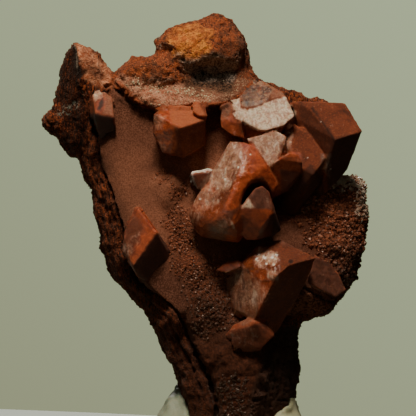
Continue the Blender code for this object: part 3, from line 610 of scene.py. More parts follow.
def stone_finish():
    f = Finish("rusty_ironstone")
    place = f.place()
    aside = f.across(place)
    up = aside.other("Z")
    broad = f.speckle(place, 0.22, 3.0)
    middle = f.speckle(place, 0.9, 4.0, 0.6)
    fine = f.speckle(place, 2.0, 4.0, 0.4)
    grit = f.speckle(place, 3.6, 1.0)
    sharp = f.speckle(place, 2.6, 2.0, 0.8)
    fibres = f.speckle(f.drawn(place, (2.4, 2.4, 0.5)), 1.0, 4.0, 0.6)
    flecks = f.speckle(f.drawn(place, (3.0, 3.0, 1.0)), 1.0, 2.0, 0.8)
    rows = f.node("ShaderNodeCombineXYZ", {"X": f.mask("beside") * 2.6, "Y": up * 0.4})
    strands = f.speckle(rows, 1.0, 3.0, 0.4)
    wall, druse, knob, strata = (f.mask(name) for name in ("wall", "druse", "knob", "strata"))

    # Bare rock: the split edge beside the crack, and the horn's faces: painted light on its lit
    # face and painted shade on its dark left face.
    layered = f.layers(
        f.mixed(f.ramp(strands, 0.36, 0.64), (60, 30, 18), (122, 62, 37)),
        (f.ramp(flecks, 0.55, 0.68), (156, 76, 40)),
        (f.ramp(flecks, 0.47, 0.36), (40, 21, 14)),
    )
    # Painted light: the horn's lit face painted lighter.
    lit = f.layers(
        f.mixed(f.ramp(middle, 0.36, 0.60), (186, 98, 56), (248, 168, 120)),
        (f.ramp(broad, 0.50, 0.42) * 0.6, (140, 68, 40)),
        (f.ramp(sharp, 0.46, 0.36) * 0.6, (112, 56, 34)),
        (f.ramp(sharp, 0.55, 0.66) * 0.6, (244, 180, 140)),
    )
    brown = f.mixed(f.ramp(sharp, 0.42, 0.58), (64, 31, 19), (132, 70, 44))
    # Painted shade: the horn's dark left face, turned from the lamp.
    painted_dim = f.layers(
        f.mixed(f.ramp(fibres, 0.42, 0.66), (22, 11, 6), (66, 29, 14)),
        (f.ramp(flecks, 0.58, 0.68) * 0.6, (150, 70, 34)),
    )
    bare = f.layers(
        f.mixed(f.ramp(fibres, 0.40, 0.60), (50, 25, 15), (108, 50, 27)),
        (f.ramp(flecks, 0.53, 0.66), (178, 86, 44)),
        (f.ramp(flecks, 0.46, 0.36), (30, 16, 11)),
        (f.ramp(broad, 0.55, 0.75) * 0.5, (64, 40, 28)),
        (strata * 0.9, layered),
        (f.mask("lit_horn") * 0.85, lit),
        (f.mask("horn_brown") * 0.7, brown),
        (f.mask("horn_dark") * 0.8, painted_dim),
        (f.mask("horn_black") * 0.9, (32, 17, 11)),
        (f.mask("pale_edge") * 0.7, (184, 158, 130)),
    )

    # The knob's porous rust, with an ochre patch, and its underside painted pale as painted light
    # in its shade.
    ochre = f.layers(
        f.mixed(f.ramp(middle, 0.38, 0.66), (206, 106, 46), (240, 150, 70)),
        (f.ramp(sharp, 0.55, 0.66), (142, 76, 44)),
    )
    dark = f.mixed(f.ramp(sharp, 0.44, 0.60), (50, 32, 22), (112, 64, 42))
    # Painted light: the knob's shaded underside painted pale.
    under = f.mixed(f.ramp(sharp, 0.42, 0.58), (128, 98, 76), (216, 176, 142))
    rust = f.layers(
        f.mixed(f.ramp(middle, 0.36, 0.60), (104, 58, 38), (172, 84, 46)),
        (f.ramp(sharp, 0.54, 0.64), (72, 44, 32)),
        (f.ramp(grit, 0.60, 0.72), (206, 124, 76)),
        (f.ramp(f.mask("ochre") + (middle - 0.5) * 1.4, 0.2, 0.95), ochre),
        (f.ramp(f.mask("knob_dark") + (fine - 0.5) * 1.2, 0.3, 0.9) * 0.5, dark),
        (f.mask("underside") * 0.95, under),
    )

    # The cavity wall: hematite velvet with painted shade near its top, the worn foot, the druse's
    # crust with painted shade lower down, and the ledge.
    # Velvet colour, darker towards the top as painted shade under the ledge's rim; it also takes
    # another brown to the right and turns darker towards the bottom.
    velvet_and_shade = f.layers(
        f.mixed(f.ramp(up + broad * 6.0, 55.0, 70.0), (144, 88, 62), (94, 53, 35)),
        (f.ramp(aside, 3.0, 12.0) * 0.8, (104, 60, 43)),
        (f.ramp(up + broad * 8.0, 45.0, 38.0) * 0.8, (72, 39, 26)),
        (f.ramp(grit, 0.45, 0.75) * 0.4, (180, 118, 90)),
        (f.ramp(grit, 0.50, 0.30) * 0.4, (64, 36, 26)),
        (f.ramp(broad, 0.36, 0.64) * 0.25, (92, 54, 40)),
    )
    worn = f.mixed(f.ramp(fine, 0.35, 0.65), (46, 24, 15), (92, 48, 30))
    crust = f.layers(
        f.mixed(f.ramp(sharp, 0.40, 0.60), (52, 27, 18), (128, 66, 40)),
        # Painted shade: the crust darker lower down, below the great crystal.
        (f.ramp(up, 34.0, 24.0) * 0.5, (40, 20, 12)),
        (f.mask("fringe"), (150, 118, 92)),
    )
    ledge = f.layers(
        f.mixed(f.ramp(middle, 0.36, 0.64), (180, 104, 72), (222, 154, 118)),
        (f.ramp(aside, -8.0, -2.0) * 0.8, (108, 62, 42)),
        (f.ramp(fine, 0.46, 0.34), (108, 68, 46)),
        (f.ramp(grit, 0.54, 0.66) * 0.6, (214, 176, 134)),
    )
    # Painted shade below the knob, and the cavity painted pale grey: painted light in the knob's
    # shade.
    shade = f.mixed(f.ramp(sharp, 0.44, 0.62), (34, 22, 15), (118, 80, 56))
    grey = f.mixed(f.ramp(sharp, 0.42, 0.58), (84, 70, 60), (176, 150, 128))

    crest = f.ramp(f.mask("height"), 0.05, 0.45) * f.ramp(fine, 0.36, 0.56)
    colour = f.layers(
        bare,
        (knob, rust),
        (crest * (0.6 - 0.3 * f.mask("horn_dark")), (190, 96, 52)),
        (f.mask("lichen") * f.ramp(fine, 0.50, 0.58), (176, 172, 146)),
        (wall, velvet_and_shade),
        (f.mask("foot") * 0.9, worn),
        (druse * 0.85, crust),
        (f.mask("ledge") * 0.9, ledge),
        (f.mask("ledge_shade"), shade),
        (f.mask("cavity"), grey),
        # Painted light below the wing's crack, lifting the crystals' shadow.
        (f.mask("painted_light_hackle") * f.ramp(fine, 0.40, 0.56), (196, 124, 88)),
        (f.mask("rim_line"), (180, 92, 56)),
        (f.mask("foot_shade") * 0.8, (68, 44, 33)),
        (f.mask("hollow") * 0.8, (30, 20, 15)),
    )

    height = sharp * (2.0 - 1.8 * wall + 0.8 * druse) + grit * (0.5 - 0.3 * wall)
    return f.surface(f.principled({
        "Base Color": colour, "Roughness": 0.92 - 0.25 * druse * f.ramp(fine, 0.5, 0.6),
        "Normal": f.bump(0.8, 0.3, height + strata * strands * 1.2),
        "Sheen Weight": 0.08, "Sheen Roughness": 0.5, "Sheen Tint": RUSTY_GLEAM,
        "Specular IOR Level": 0.15, "Specular Tint": RUSTY_GLEAM,
    }))


def ironstone():
    """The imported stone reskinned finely, its own relief carved in and its masks painted."""
    stone = reskinned(from_bmesh("ironstone", welded("matrix")), STONE_VOXEL, STONE_SOFTENING)
    tree = tree_of(*(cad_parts[name].data for name in CRYSTAL_NODES))
    points = coordinates(stone.data)
    move_to(stone.data, evened(points, point_rows(stone.data, "normal")))
    points = coordinates(stone.data)
    outward = point_rows(stone.data, "normal")
    masks = stone_masks(points, outward)
    near_crystal = gaps_to(tree, points, SEAT_REACH)
    relief = stone_relief(points, outward, masks, near_crystal)
    points = points + outward * relief[:, None]
    points[:, 2] = np.maximum(points[:, 2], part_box("matrix")[0][2] / MM)
    move_to(stone.data, points)
    x, y, z = points.T
    on_wing = x > WING_START
    gritty = eased(1.4 - path_distance(GRIT_LINE, x, z) / 0.9) + 0.03
    masks |= {
        "rim_line": eased(1.0 - path_distance(LEDGE_RIM, x, z) / 0.5) * (y < RIM_Y),
        "hollow": eased(-0.3 - 1.4 * relief),
        "height": relief * (near_crystal > 1.2),
        "lichen": patches(LICHEN, x, z) * (outward[:, 1] < 0),
        "fringe": eased(1.3 - path_distance(WING_FRINGE, x, z) / 1.6),
        "ledge_grit": masks["ledge"] * gritty,
        "wing_druse": masks["druse"] * on_wing,
        "fine_druse": masks["druse"] * (1.0 - 0.5 * on_wing),
        "beside": path_distance(EDGE_CRACK, x, z),
    }
    for name, values in masks.items():
        paint(stone.data, name, values)
    stone.data.materials.append(stone_finish())
    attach(stone, "root")
    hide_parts("matrix")
    return stone


stone = ironstone()

# ---- Druse -------------------------------------------------------------------------------
# Thousands of small calcite grains, the widest 1.3 mm across, that crust the cavity wall in
# clusters. The upper edge of the wing carries a fringe of clear ones.

# Where each kind grows, how many there may be in a square millimetre, their smallest and
# largest widths, how tall they are for their width, and a seed.
GRAINS = {
    "druse": ("fine_druse", 6.5, 0.26, 0.8, 0.56, 11),
    "wing_druse": ("wing_druse", 2.6, 0.5, 1.3, 0.6, 31),
    "wing_fringe": ("fringe", 4.5, 0.4, 1.2, 1.2, 5),
    "ledge_grains": ("ledge_grit", 3.2, 0.2, 0.55, 0.7, 23),
}
GRAIN_SIDES = 6
GRAIN_GLEAM = (1.0, 0.78, 0.58, 1.0)  # the brown film on the grains warms their shine


def growth_nodes():
    """Crystals scattered over a surface where one of its painted values says so."""
    tree = bpy.data.node_groups.new("crystal_growth", "GeometryNodeTree")
    for name, kind in (
        ("Geometry", "Geometry"), ("Where", "String"), ("Density", "Float"),
        ("Smallest", "Float"), ("Largest", "Float"), ("Tallness", "Float"),
        ("Seed", "Int"), ("Finish", "Material"),
    ):
        tree.interface.new_socket(name, in_out="INPUT", socket_type=f"NodeSocket{kind}")
    tree.interface.new_socket("Geometry", in_out="OUTPUT", socket_type="NodeSocketGeometry")
    g = Graph(tree)
    given = g.node("NodeGroupInput")
    seed = given.other("Seed")
    painted = g.node(
        "GeometryNodeInputNamedAttribute", {"Name": given.other("Where")}, "Attribute",
        data_type="FLOAT",
    )
    points = g.node(
        "GeometryNodeDistributePointsOnFaces",
        {"Mesh": given, "Density": painted * given.other("Density"), "Seed": seed},
    )
    cone = g.node(
        "GeometryNodeMeshCone",
        {"Vertices": GRAIN_SIDES, "Radius Top": 0.16, "Radius Bottom": 0.5, "Depth": 0.7},
    )
    block = g.node("GeometryNodeTransform", {"Geometry": cone, "Translation": (0.0, 0.0, -0.25)})
    lean = g.node(
        "FunctionNodeRandomValue",
        {"Min": (-0.7, -0.7, 0.0), "Max": (0.7, 0.7, 6.28), "Seed": seed},
        "Value",
        data_type="FLOAT_VECTOR",
    )
    turn = g.node("FunctionNodeEulerToRotation", {"Euler": lean})
    leaning = g.node(
        "FunctionNodeRotateRotation",
        {"Rotation": points.other("Rotation"), "Rotate By": turn},
        rotation_space="LOCAL",
    )
    width = g.node(
        "FunctionNodeRandomValue",
        {"Min": given.other("Smallest"), "Max": given.other("Largest"), "Seed": seed + 1},
        "Value",
        data_type="FLOAT",
    )
    tall = width * given.other("Tallness")
    size = g.node("ShaderNodeCombineXYZ", {"X": width, "Y": width, "Z": tall})
    grown = g.node(
        "GeometryNodeInstanceOnPoints",
        {"Points": points, "Instance": block, "Rotation": leaning, "Scale": size},
    )
    joined = g.node("GeometryNodeRealizeInstances", {"Geometry": grown})
    finished = g.node(
        "GeometryNodeSetMaterial", {"Geometry": joined, "Material": given.other("Finish")}
    )
    g.node("NodeGroupOutput", {"Geometry": finished})
    return tree


def grains_finish(name, dull, bright, rough):
    f = Finish(name)
    place = f.place()
    grit = f.speckle(place, 2.4, 2.0)
    glint = f.speckle(place, 5.0, 1.0)
    aside = f.across(place)
    level = aside.other("Z") - 7.0 * f.ramp(aside, 8.0, 24.0)
    # Painted shade: the grains turn darker lower down, below the great crystal, and from higher up
    # on the wing.
    painted_dim = f.ramp(level, 38.0, 29.0) * 0.8 + f.ramp(level, 20.0, 14.0) * 0.2
    colour = f.layers(f.mixed(f.ramp(grit, 0.38, 0.62), dull, bright), (painted_dim, (50, 24, 13)))
    return f.surface(f.principled({
        "Base Color": colour, "Roughness": rough + 0.4 * f.ramp(glint, 0.4, 0.6),
        "IOR": 1.55, "Specular Tint": GRAIN_GLEAM,
    }))


def clear_grains_finish():
    f = Finish("clear_calcite")
    stain = f.ramp(f.speckle(f.place(), 0.8, 2.0), 0.4, 0.6)
    return f.surface(f.principled({
        "Base Color": f.mixed(stain, (244, 220, 188), (192, 136, 100)), "Roughness": 0.3,
        "IOR": 1.6, "Transmission Weight": 0.15,
    }))


def grow(name, tree, finish):
    """One kind of grain on the stone, as a mesh of its own."""
    where, density, smallest, largest, tallness, seed = GRAINS[name]
    made = placed(name, stone.data.copy())
    growing = made.modifiers.new("growth", "NODES")
    growing.node_group = tree
    values = {
        "Where": where, "Density": density / MM**2, "Smallest": smallest * MM,
        "Largest": largest * MM, "Tallness": tallness, "Seed": seed, "Finish": finish,
    }
    for item in tree.interface.items_tree:
        if item.in_out == "INPUT" and item.name in values:
            growing[item.identifier] = values[item.name]
    baked(made)
    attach(made, "root")
    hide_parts("matrix")
    return made


growth = growth_nodes()
brown_grains = grains_finish("brown_druse", (80, 36, 20), (148, 78, 46), 0.36)
pale_grains = grains_finish("pale_druse", (168, 130, 96), (232, 212, 166), 0.5)
for name, look in (
    ("druse", brown_grains), ("wing_druse", brown_grains), ("wing_fringe", clear_grains_finish()),
    ("ledge_grains", pale_grains),
):
    grow(name, growth, look)

# ---- Calcite crystals --------------------------------------------------------------------
# Blocky calcite grown on the cavity wall, stained through by hematite. Most faces wear the
# same brown dust as the wall; where it has come off they are frosted, glowing or glassy.
# Faces turned from the lamp carry painted shade, and the frost's whiteness, the glow and
# the glints are partly painted reflection and painted light.

CRYSTAL_VOXEL = 0.22
FLAT_FOLD = 1.5  # degrees between facets of one flat face
SHARP_FOLD = 24.0  # degrees between faces that makes a worn edge
EDGE_STEP = 0.12
ROOT_REACH = 0.9  # how near the stone an underside is when it sinks in
ROOT_DEPTH = 0.7
FRONT_Y = -1.5  # looks show only in front of this
ROUNDED_Y = -6.0  # and folds are rounded only in front of this
STAINED_GLEAM = (1.0, 0.89, 0.78, 1.0)  # and the stain warms the crystals', but less

# What has come through the dust, and where shade, glow and highlights are painted, by
# outlines seen from the front: which look, how strongly (0 clears it away), and its
# corners (x, z).
LOOK_OUTLINES = {
    "horn_crystal": [
        ("frost_and_reflection", 0.7, [(-28.6, 70.8), (-26.5, 70.9), (-26.4, 69.6), (-27.4, 68.9), (-28, 68.4)]),
        ("glow", 0.6, [
            (-27.9, 66.8), (-27.7, 68.6), (-26.8, 70.1), (-25.9, 70.1), (-25.8, 67.6),
            (-26.8, 66.4)]),
        ("painted_shade", 1, [
            (-27.4, 67.2), (-27.2, 68.4), (-26.6, 69.6), (-26.2, 69.6), (-26.2, 68), (-26.8, 67)]),
        ("pink", 0.8, [(-26.4, 71.2), (-24.8, 71.2), (-23.8, 65.8), (-26.2, 66.4)]),
        ("painted_shade", 1, [(-28.4, 66.5), (-24.3, 65.7), (-23.2, 61.6), (-28.4, 61.4)]),
    ],
    "ledge_crystals": [
        ("wet", 0.9, [
            (-17, 68), (-13.6, 68.4), (-12.8, 64.8), (-12.2, 61.2), (-12.8, 58), (-14.8, 57.8),
            (-17, 62.2)]),
        ("glow", 0.7, [
            (-15, 67), (-13.2, 67), (-12.6, 64.8), (-11.4, 61.2), (-12, 58.6), (-14.4, 58),
            (-16, 62.2)]),
        ("tan", 1, [
            (-13.4, 68.6), (-7.6, 69), (-5.6, 65.4), (-10.7, 63.5), (-12.6, 64), (-13.4, 65.4)]),
    ],
    "flank_crystal": [
        ("veil", 0.5, [(-16, 49.8), (-25.2, 44), (-25.2, 34), (-19, 35.6), (-15, 43.2)]),
        ("painted_shade", 0.8, [(-15.3, 42.9), (-12.6, 39.2), (-13, 33), (-18, 31.8), (-20.5, 35.9)]),
    ],
    "central_crystals": [
        ("frost_and_reflection", 0.86, [  # the band crystal's white face
            (-0.4, 66.4), (1, 67.6), (2.4, 67.2), (4.4, 67.6), (6.2, 68.6), (7.4, 69.2),
            (10.4, 69.9), (12.3, 66.2), (9.6, 63.9), (6.4, 62.9), (4.6, 62.9), (2.6, 63.9),
            (0.2, 65.4)]),
        ("frost_and_reflection", 1, [(-0.7, 69.2), (1, 69.4), (1.1, 67), (-0.4, 67)]),
        ("glass", 0.9, [
            (1.2, 69.6), (3, 72.8), (5.4, 73.6), (8, 72), (6.4, 69), (4.4, 68), (2.4, 67.7),
            (1.2, 68)]),
        ("painted_shade", 0.45, [(1.3, 69.4), (3, 72.6), (4.2, 71), (3.4, 68.2), (1.6, 68)]),
        ("pink", 0.8, [(7.2, 71.8), (9.8, 70.8), (10.2, 69.8), (7.2, 69.4), (6.6, 70.4)]),
        ("frost_and_reflection", 0.64, [  # the pink face
            (2.2, 61.4), (5.4, 62.4), (8.2, 63.2), (10, 62), (8.8, 59.2), (8.5, 57.6), (8.8, 57),
            (6.8, 55.7), (5.2, 58), (3.8, 60.2)]),
        ("glass", 0.6, [
            (10.6, 63.2), (11.2, 59.2), (10, 57.6), (8.6, 58), (8.8, 59.6), (9.6, 62.4)]),
        ("glow", 0.8, [
            (9, 58), (10.6, 58.9), (12.8, 58.6), (13.7, 57), (12.6, 57.4), (10.4, 57.6)]),
        ("glow", 0.45, [
            (7.2, 55.6), (9, 57.6), (12.6, 57.4), (13.4, 54.6), (10.6, 51), (7.6, 49.4)]),
        ("painted_shade", 0.7, [
            (9, 55.4), (13, 54.6), (15, 56.4), (17.4, 53.4), (18.6, 46), (8.4, 42), (9, 50)]),
        ("painted_shade", 0.8, [(19.5, 61.4), (25.4, 62.8), (24.8, 58), (18.8, 50), (18, 56.8)]),
        ("frost_and_reflection", 0.55, [(9.8, 62.8), (11.2, 63.8), (11.6, 62), (10.7, 59.4), (9.9, 59.6)]),
        ("painted_shade", 0.45, [(12.6, 69.6), (15.4, 66.4), (20.2, 60.8), (18.2, 58.4), (12.8, 65.4)]),
        ("painted_shade", 0.9, [(15, 67.6), (15.5, 67.8), (20.3, 60.8), (19.8, 60.5)]),
        ("painted_shade", 0.7, [(20.4, 67), (23, 65.8), (22.8, 66.6), (21.6, 67.3)]),
        ("glow", 0.6, [(-3, 65.6), (-0.6, 66), (2, 61.6), (-0.6, 61.4), (-2.8, 63.4)]),
        ("glass", 0.5, [(-3.2, 66.4), (-2, 68.2), (-0.4, 68.4), (-1.6, 65.4), (-3, 65)]),
        ("frost_and_reflection", 0.72, [(0.8, 47.4), (2.6, 49.8), (3.9, 47.7)]),  # the arch crystal's tip
        ("veil", 0.8, [
            (2.6, 49.8), (3.8, 51.8), (5.4, 52.6), (6.8, 51), (7.4, 47.6), (5.4, 47.2),
            (3.9, 47.7)]),
        ("glow", 0.85, [
            (0.6, 47.4), (6.6, 47.4), (8, 46.6), (6.8, 41), (3, 39), (-2, 41), (-0.9, 45)]),
        ("painted_shade", 1, [(7.9, 47), (9.6, 42.8), (7.8, 40.4), (4, 40.4), (4.8, 43.6), (6.3, 45.4)]),
        ("frost_and_reflection", 0, [(-9.8, 56), (-4.7, 55.8), (-6.2, 53.4), (-8, 51.2), (-9.2, 50.4)]),
        ("frost_and_reflection", 0.9, [(-9.4, 55.6), (-4.6, 56), (-4.6, 55), (-9.2, 54.4)]),
        ("glint", 1, [(-9.3, 55.3), (-4.7, 55.9), (-4.7, 55.2), (-9.1, 54.6)]),
        ("glint", 0.5, [(-9.3, 55), (-8.8, 55), (-7.5, 51), (-8, 50.8)]),
        ("painted_shade", 0.8, [(-9, 54.2), (-4.6, 54.9), (-5.4, 52.6), (-7.4, 50.4), (-8.6, 50.8)]),
        ("glow", 0.9, [(-8.6, 54.3), (-4.4, 54.9), (-3.8, 50.8), (-7.4, 51)]),
        ("glass", 0.8, [(17.2, 58.4), (19, 58.4), (18.9, 53.6), (17, 55.4)]),
        ("glow", 0.9, [  # the great crystal's orange right side
            (1, 60.6), (3.6, 60.4), (6.4, 56.2), (9, 52.4), (8.4, 49.8), (5.4, 54), (2.8, 52.6),
            (0.4, 47.4), (-2.4, 47), (-0.4, 52.4), (1.4, 56.6)]),
        ("frost_and_reflection", 0.8, [(-1.2, 45.6), (-0.7, 45), (0.5, 42.9), (0.2, 42.7), (-1, 44.2)]),
    ],
    "lower_crystals": [
        ("wet", 1, [(1.4, 39.6), (5, 40.6), (9, 38.6), (8.6, 33.4), (5.2, 33), (1.8, 35.4)]),
        ("veil", 0.8, [(9, 40.6), (15.6, 38.2), (21, 38), (14, 44), (5.6, 42)]),
        ("glass", 0.45, [
            (-1.8, 35.6), (2, 36), (4.2, 33.8), (5.2, 31), (4, 25.2), (1.6, 24.2), (-0.8, 25.2),
            (-2, 31.2)]),
        ("veil", 0.7, [(-1.8, 35.6), (1.6, 35.6), (2.6, 32), (2, 24.4), (-0.8, 25.2), (-2, 31.2)]),
        ("glow", 0.7, [(2.6, 35.4), (5.6, 35.2), (7.4, 33), (6, 29.4), (4.6, 26), (4.4, 30.8)]),
        ("painted_shade", 0.35, [(8.4, 33.6), (15.4, 38.4), (13, 30), (8, 24.6), (5, 26)]),
        ("glow", 0.3, [(-0.8, 24.8), (3.8, 25.6), (6.6, 25.4), (3.2, 24), (-1.6, 23)]),
        ("painted_shade", 0.4, [(-2, 23.2), (3.2, 24.2), (7, 25.2), (5, 19), (-2, 20)]),
        ("glow", 0.7, [(-4.4, 35), (-1.4, 36.6), (1.2, 36.6), (0.8, 34.8), (-2, 34.4)]),
        ("painted_shade", 0.5, [(-4.6, 35.4), (-1, 36.2), (1.8, 37.4), (1.4, 34.6), (-2, 34.2)]),
    ],
    "wing_crystal": [
        ("veil", 0.9, [(14, 38.4), (26, 38.4), (26, 26), (14, 26)]),
    ],
}
# Soft patches on the crystals, by look: (x, z, radius, how strong).
SOFT_LOOKS = {
    "ledge_crystals": {
        "frost_and_reflection": [(-15.4, 64.8, 1.6, 0.4), (-14.6, 60, 1.2, 0.3)],
    },
    "flank_crystal": {
        "frost_and_reflection": [(-21.4, 39.4, 1.4, 0.3), (-19.6, 41.4, 1.2, 0.25)],
        "glow": [
            (-18.8, 46.6, 1.2, 0.5), (-17.6, 45, 1.2, 0.6), (-16.6, 43.4, 1.6, 0.7),
            (-17.4, 41.4, 1.6, 0.7), (-18.6, 39.4, 1.4, 0.7), (-19.8, 37.4, 1.1, 0.6),
        ],
        "veil": [(-16, 46.4, 1, 0.6)],
    },
    "central_crystals": {
        "frost_and_reflection": [
            (-1, 58.4, 3.4, 0.56), (-3.4, 54.4, 3.6, 0.6), (-6.4, 50.4, 3.4, 0.48),
            (0.6, 55.6, 1.8, 0.4), (-8, 46.6, 1.8, 0.26), (-2.4, 44.6, 1, 0.35),
            (-8.4, 44.6, 1.2, 0.3),
        ],
        "glow": [(-6.4, 48, 1.6, 0.5), (-3.8, 46.4, 2, 0.4), (-6.8, 43.6, 1.8, 0.4)],
        "glass": [(-2.6, 43, 2.2, 0.3)],
        "wet": [(-1, 55, 5, 1), (-5, 49, 4, 0.8), (-3, 44, 3, 0.6)],
        "veil": [(-4, 41.8, 1.8, 0.7), (-2.2, 46.2, 1.6, 0.8)],
        "painted_shade": [
            (3.4, 45, 3.2, 0.6), (2, 42.4, 2.4, 0.5), (4.6, 49.6, 2, 0.3), (13, 57.2, 1.2, 0.35),
            (-5.6, 44.4, 3, 0.2),
        ],
        "glint": [
            (0.6, 55.7, 0.2, 1), (1.4, 56.5, 0.12, 1), (-2, 53.3, 0.2, 1), (-7, 49.4, 0.17, 1),
            (3, 58.2, 0.15, 1), (-3.4, 51.4, 0.15, 0.9), (10.8, 62.6, 0.17, 1),
            (9.9, 58.8, 0.15, 0.9), (19, 55.4, 0.15, 0.9), (14.4, 57.6, 0.12, 0.7),
            (17, 64.8, 0.1, 0.6),
        ],
    },
    "lower_crystals": {
        "frost_and_reflection": [
            (2, 22.2, 2.4, 0.2), (0.4, 33.6, 1.2, 0.3), (5.2, 38.6, 1.3, 0.62),
            (7.2, 37.6, 1.4, 0.66), (5, 36.8, 1.2, 0.5), (7.2, 34.4, 1, 0.5), (1, 29.6, 1.6, 0.25),
            (4, 30.6, 2.6, 0.4),
        ],
        "painted_shade": [(10.8, 38.2, 2.2, 0.3), (11, 37, 0.5, 1)],
        "glint": [
            (4.6, 38.4, 0.25, 1), (4.4, 37.4, 0.35, 0.9), (5.8, 37.8, 0.4, 0.9),
            (8.2, 38.3, 0.3, 0.9), (7.6, 36.4, 0.25, 0.8), (7.4, 37.8, 0.25, 1),
            (6.2, 36.6, 0.2, 1), (-4.2, 37.2, 0.15, 1),
        ],
    },
}
# Frosted, whitened partly by a painted reflection; orange lit from within, partly a painted glow;
# clear; shiny; two paler dusts; a thicker one; painted shade; and painted glints.
LOOKS = ("frost_and_reflection", "glow", "glass", "wet", "tan", "pink", "veil", "painted_shade", "glint")
# Places whose folds have been rounded away: (x, z, radius, how far).
ROUNDED = {
    "central_crystals": [(-1, 53, 6, 1), (-4, 46, 5, 1), (5, 55, 2.6, 0.8)],
    "ledge_crystals": [(-16, 62, 2.6, 0.7)],
    "lower_crystals": [(2, 36, 3.4, 0.8), (0, 28, 3, 0.8)],
    "flank_crystal": [(-18, 43, 4, 0.5)],
}
ROUNDING_STEPS = 24
# How much each group's faces swell and dip, in millimetres.
WAVINESS = {
    "horn_crystal": 0.05, "ledge_crystals": 0.05, "flank_crystal": 0.05,
    "central_crystals": 0.05, "lower_crystals": 0.06, "wing_crystal": 0.06,
}


def flat_faces(node_name):
    """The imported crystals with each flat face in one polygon."""
    shape = welded(node_name)
    flat = math.radians(FLAT_FOLD)
    bmesh.ops.dissolve_limit(shape, angle_limit=flat, verts=shape.verts, edges=shape.edges)
    shape.faces.ensure_lookup_table()
    return shape


def edge_points(shape):
    """Points all along the folds between flat faces."""
    spots = []
    for edge in shape.edges:
        if len(edge.link_faces) == 2 and edge.calc_face_angle(0) > math.radians(SHARP_FOLD):
            first, last = (vert.co for vert in edge.verts)
            steps = max(1, int((last - first).length / (EDGE_STEP * MM)))
            spots += [first.lerp(last, i / steps) for i in range(steps + 1)]
    tree = KDTree(len(spots))
    for i, spot in enumerate(spots):
        tree.insert(spot, i)
    tree.balance()
    return tree


def calcite_finish():
    f = Finish("stained_calcite")
    place = f.place()
    broad = f.speckle(place, 0.28, 3.0, 0.8)
    middle = f.speckle(place, 0.9, 3.0, 0.8)
    fine = f.speckle(place, 2.6, 3.0)
    streak = f.speckle(f.drawn(place, (1.2, 1.2, 0.3), -24.0), 1.0, 3.0, 0.6)
    frost_and_reflection, glow, glass, wet, tan, pink, veil, painted_shade, glint = (f.mask(name) for name in LOOKS)

    blotch = f.ramp(fine, 0.4, 0.7)
    dust = f.layers(
        f.mixed(f.ramp(broad, 0.35, 0.65), (100, 44, 20), (122, 56, 28)),
        (f.ramp(fine, 0.52, 0.72) * 0.6, (152, 78, 44)),
        (f.ramp(fine, 0.44, 0.32) * 0.5, (68, 31, 17)),
        (tan, f.mixed(blotch, (162, 82, 46), (182, 100, 60))),
        (pink, f.mixed(blotch, (146, 88, 62), (170, 114, 86))),
        (veil, f.mixed(f.ramp(middle, 0.4, 0.6), (88, 48, 32), (118, 68, 48))),
    )
    # The glow's orange stands partly for light shining through the crystal, a painted glow; at the
    # strongest glow it turns brighter still, painted light on faces that lie in shade.
    deep = f.layers(
        f.mixed(f.ramp(middle, 0.3, 0.7), (140, 52, 23), (208, 94, 46)),
        (f.ramp(glow, 0.9, 1.0) * 0.5, (240, 112, 54)),
    )
    clear = f.layers(
        f.mixed(f.ramp(streak, 0.40, 0.60), (66, 37, 22), (184, 130, 92)),
        (f.ramp(middle, 0.48, 0.60) * 0.8, (146, 74, 40)),
        (f.ramp(fine, 0.54, 0.62) * 0.6, (206, 168, 132)),
    )
    # The frost's whiteness and pale streaks are partly a pale frosting and partly a painted
    # reflection of the lamp.
    rime_and_reflection = f.layers(
        f.mixed(f.ramp(frost_and_reflection, 0.55, 0.85), (214, 158, 124), (220, 194, 158)),
        (f.ramp(fine, 0.52, 0.40) * (0.45 - 0.3 * wet), (140, 100, 74)),
        (f.ramp(middle, 0.54, 0.42) * 0.7, (194, 138, 106)),
        (f.ramp(streak, 0.55, 0.64) * 0.45, (240, 222, 192)),
        (f.ramp(streak, 0.42, 0.36) * 0.4, (164, 100, 70)),
    )
    ragged = frost_and_reflection + (middle - 0.5) * 0.8 + (fine - 0.5) * 0.3 * (1.0 - wet) + (streak - 0.5) * 0.5
    colour = f.layers(
        dust,
        (glow, deep),
        (glass * 0.75, clear),
        (f.ramp(ragged, 0.15, 0.85), rime_and_reflection),
        (f.mask("edge") * f.ramp(middle, 0.42, 0.6) * 0.4, (184, 94, 54)),
        # Painted shade: faces turned from the lamp painted nearly black.
        (painted_shade * 0.9, (30, 15, 9)),
        # Painted glints: small painted highlights where the lamp would catch the crystals.
        (glint * f.ramp(streak, 0.36, 0.52), (255, 244, 220)),
    )

    shine = wet
    for look in (glow, glass, frost_and_reflection):
        shine = f.node("ShaderNodeMath", {0: shine, 1: look * 0.6}, operation="MAXIMUM")
    bump = f.bump(0.5, 0.14, (fine * 0.6 + middle) * (0.5 + 1.6 * wet - 0.4 * glass))
    body = f.principled({
        "Base Color": colour, "Roughness": 0.84 - 0.56 * shine + f.ramp(fine, 0.3, 0.7) * 0.12,
        "Normal": bump, "IOR": 1.55, "Subsurface Weight": 0.25, "Subsurface Scale": 1.2 * MM,
        "Subsurface Radius": (1.0, 0.32, 0.12), "Specular IOR Level": 0.35,
        "Specular Tint": STAINED_GLEAM,
    })
    pane = f.principled({
        "Base Color": tint(206, 132, 92), "Roughness": 0.4, "Normal": bump,
        "IOR": 1.6, "Transmission Weight": 1.0, "Specular Tint": STAINED_GLEAM,
    })
    share = glass * f.ramp(streak, 0.72, 0.35) * 0.3
    return f.surface(f.node("ShaderNodeMixShader", {0: share, 1: body, 2: pane}))


def rooted(points, outward):
    """How far each point of a crystal's hidden underside sinks into the stone, in mm."""
    depth = np.zeros(len(points))
    for i, point in enumerate(points):
        hit = stone_tree.find_nearest(Vector(point) * MM, ROOT_REACH * MM)
        if hit[0] is not None and Vector(outward[i]).dot(hit[1]) < -0.25:
            depth[i] = ROOT_DEPTH
    return depth


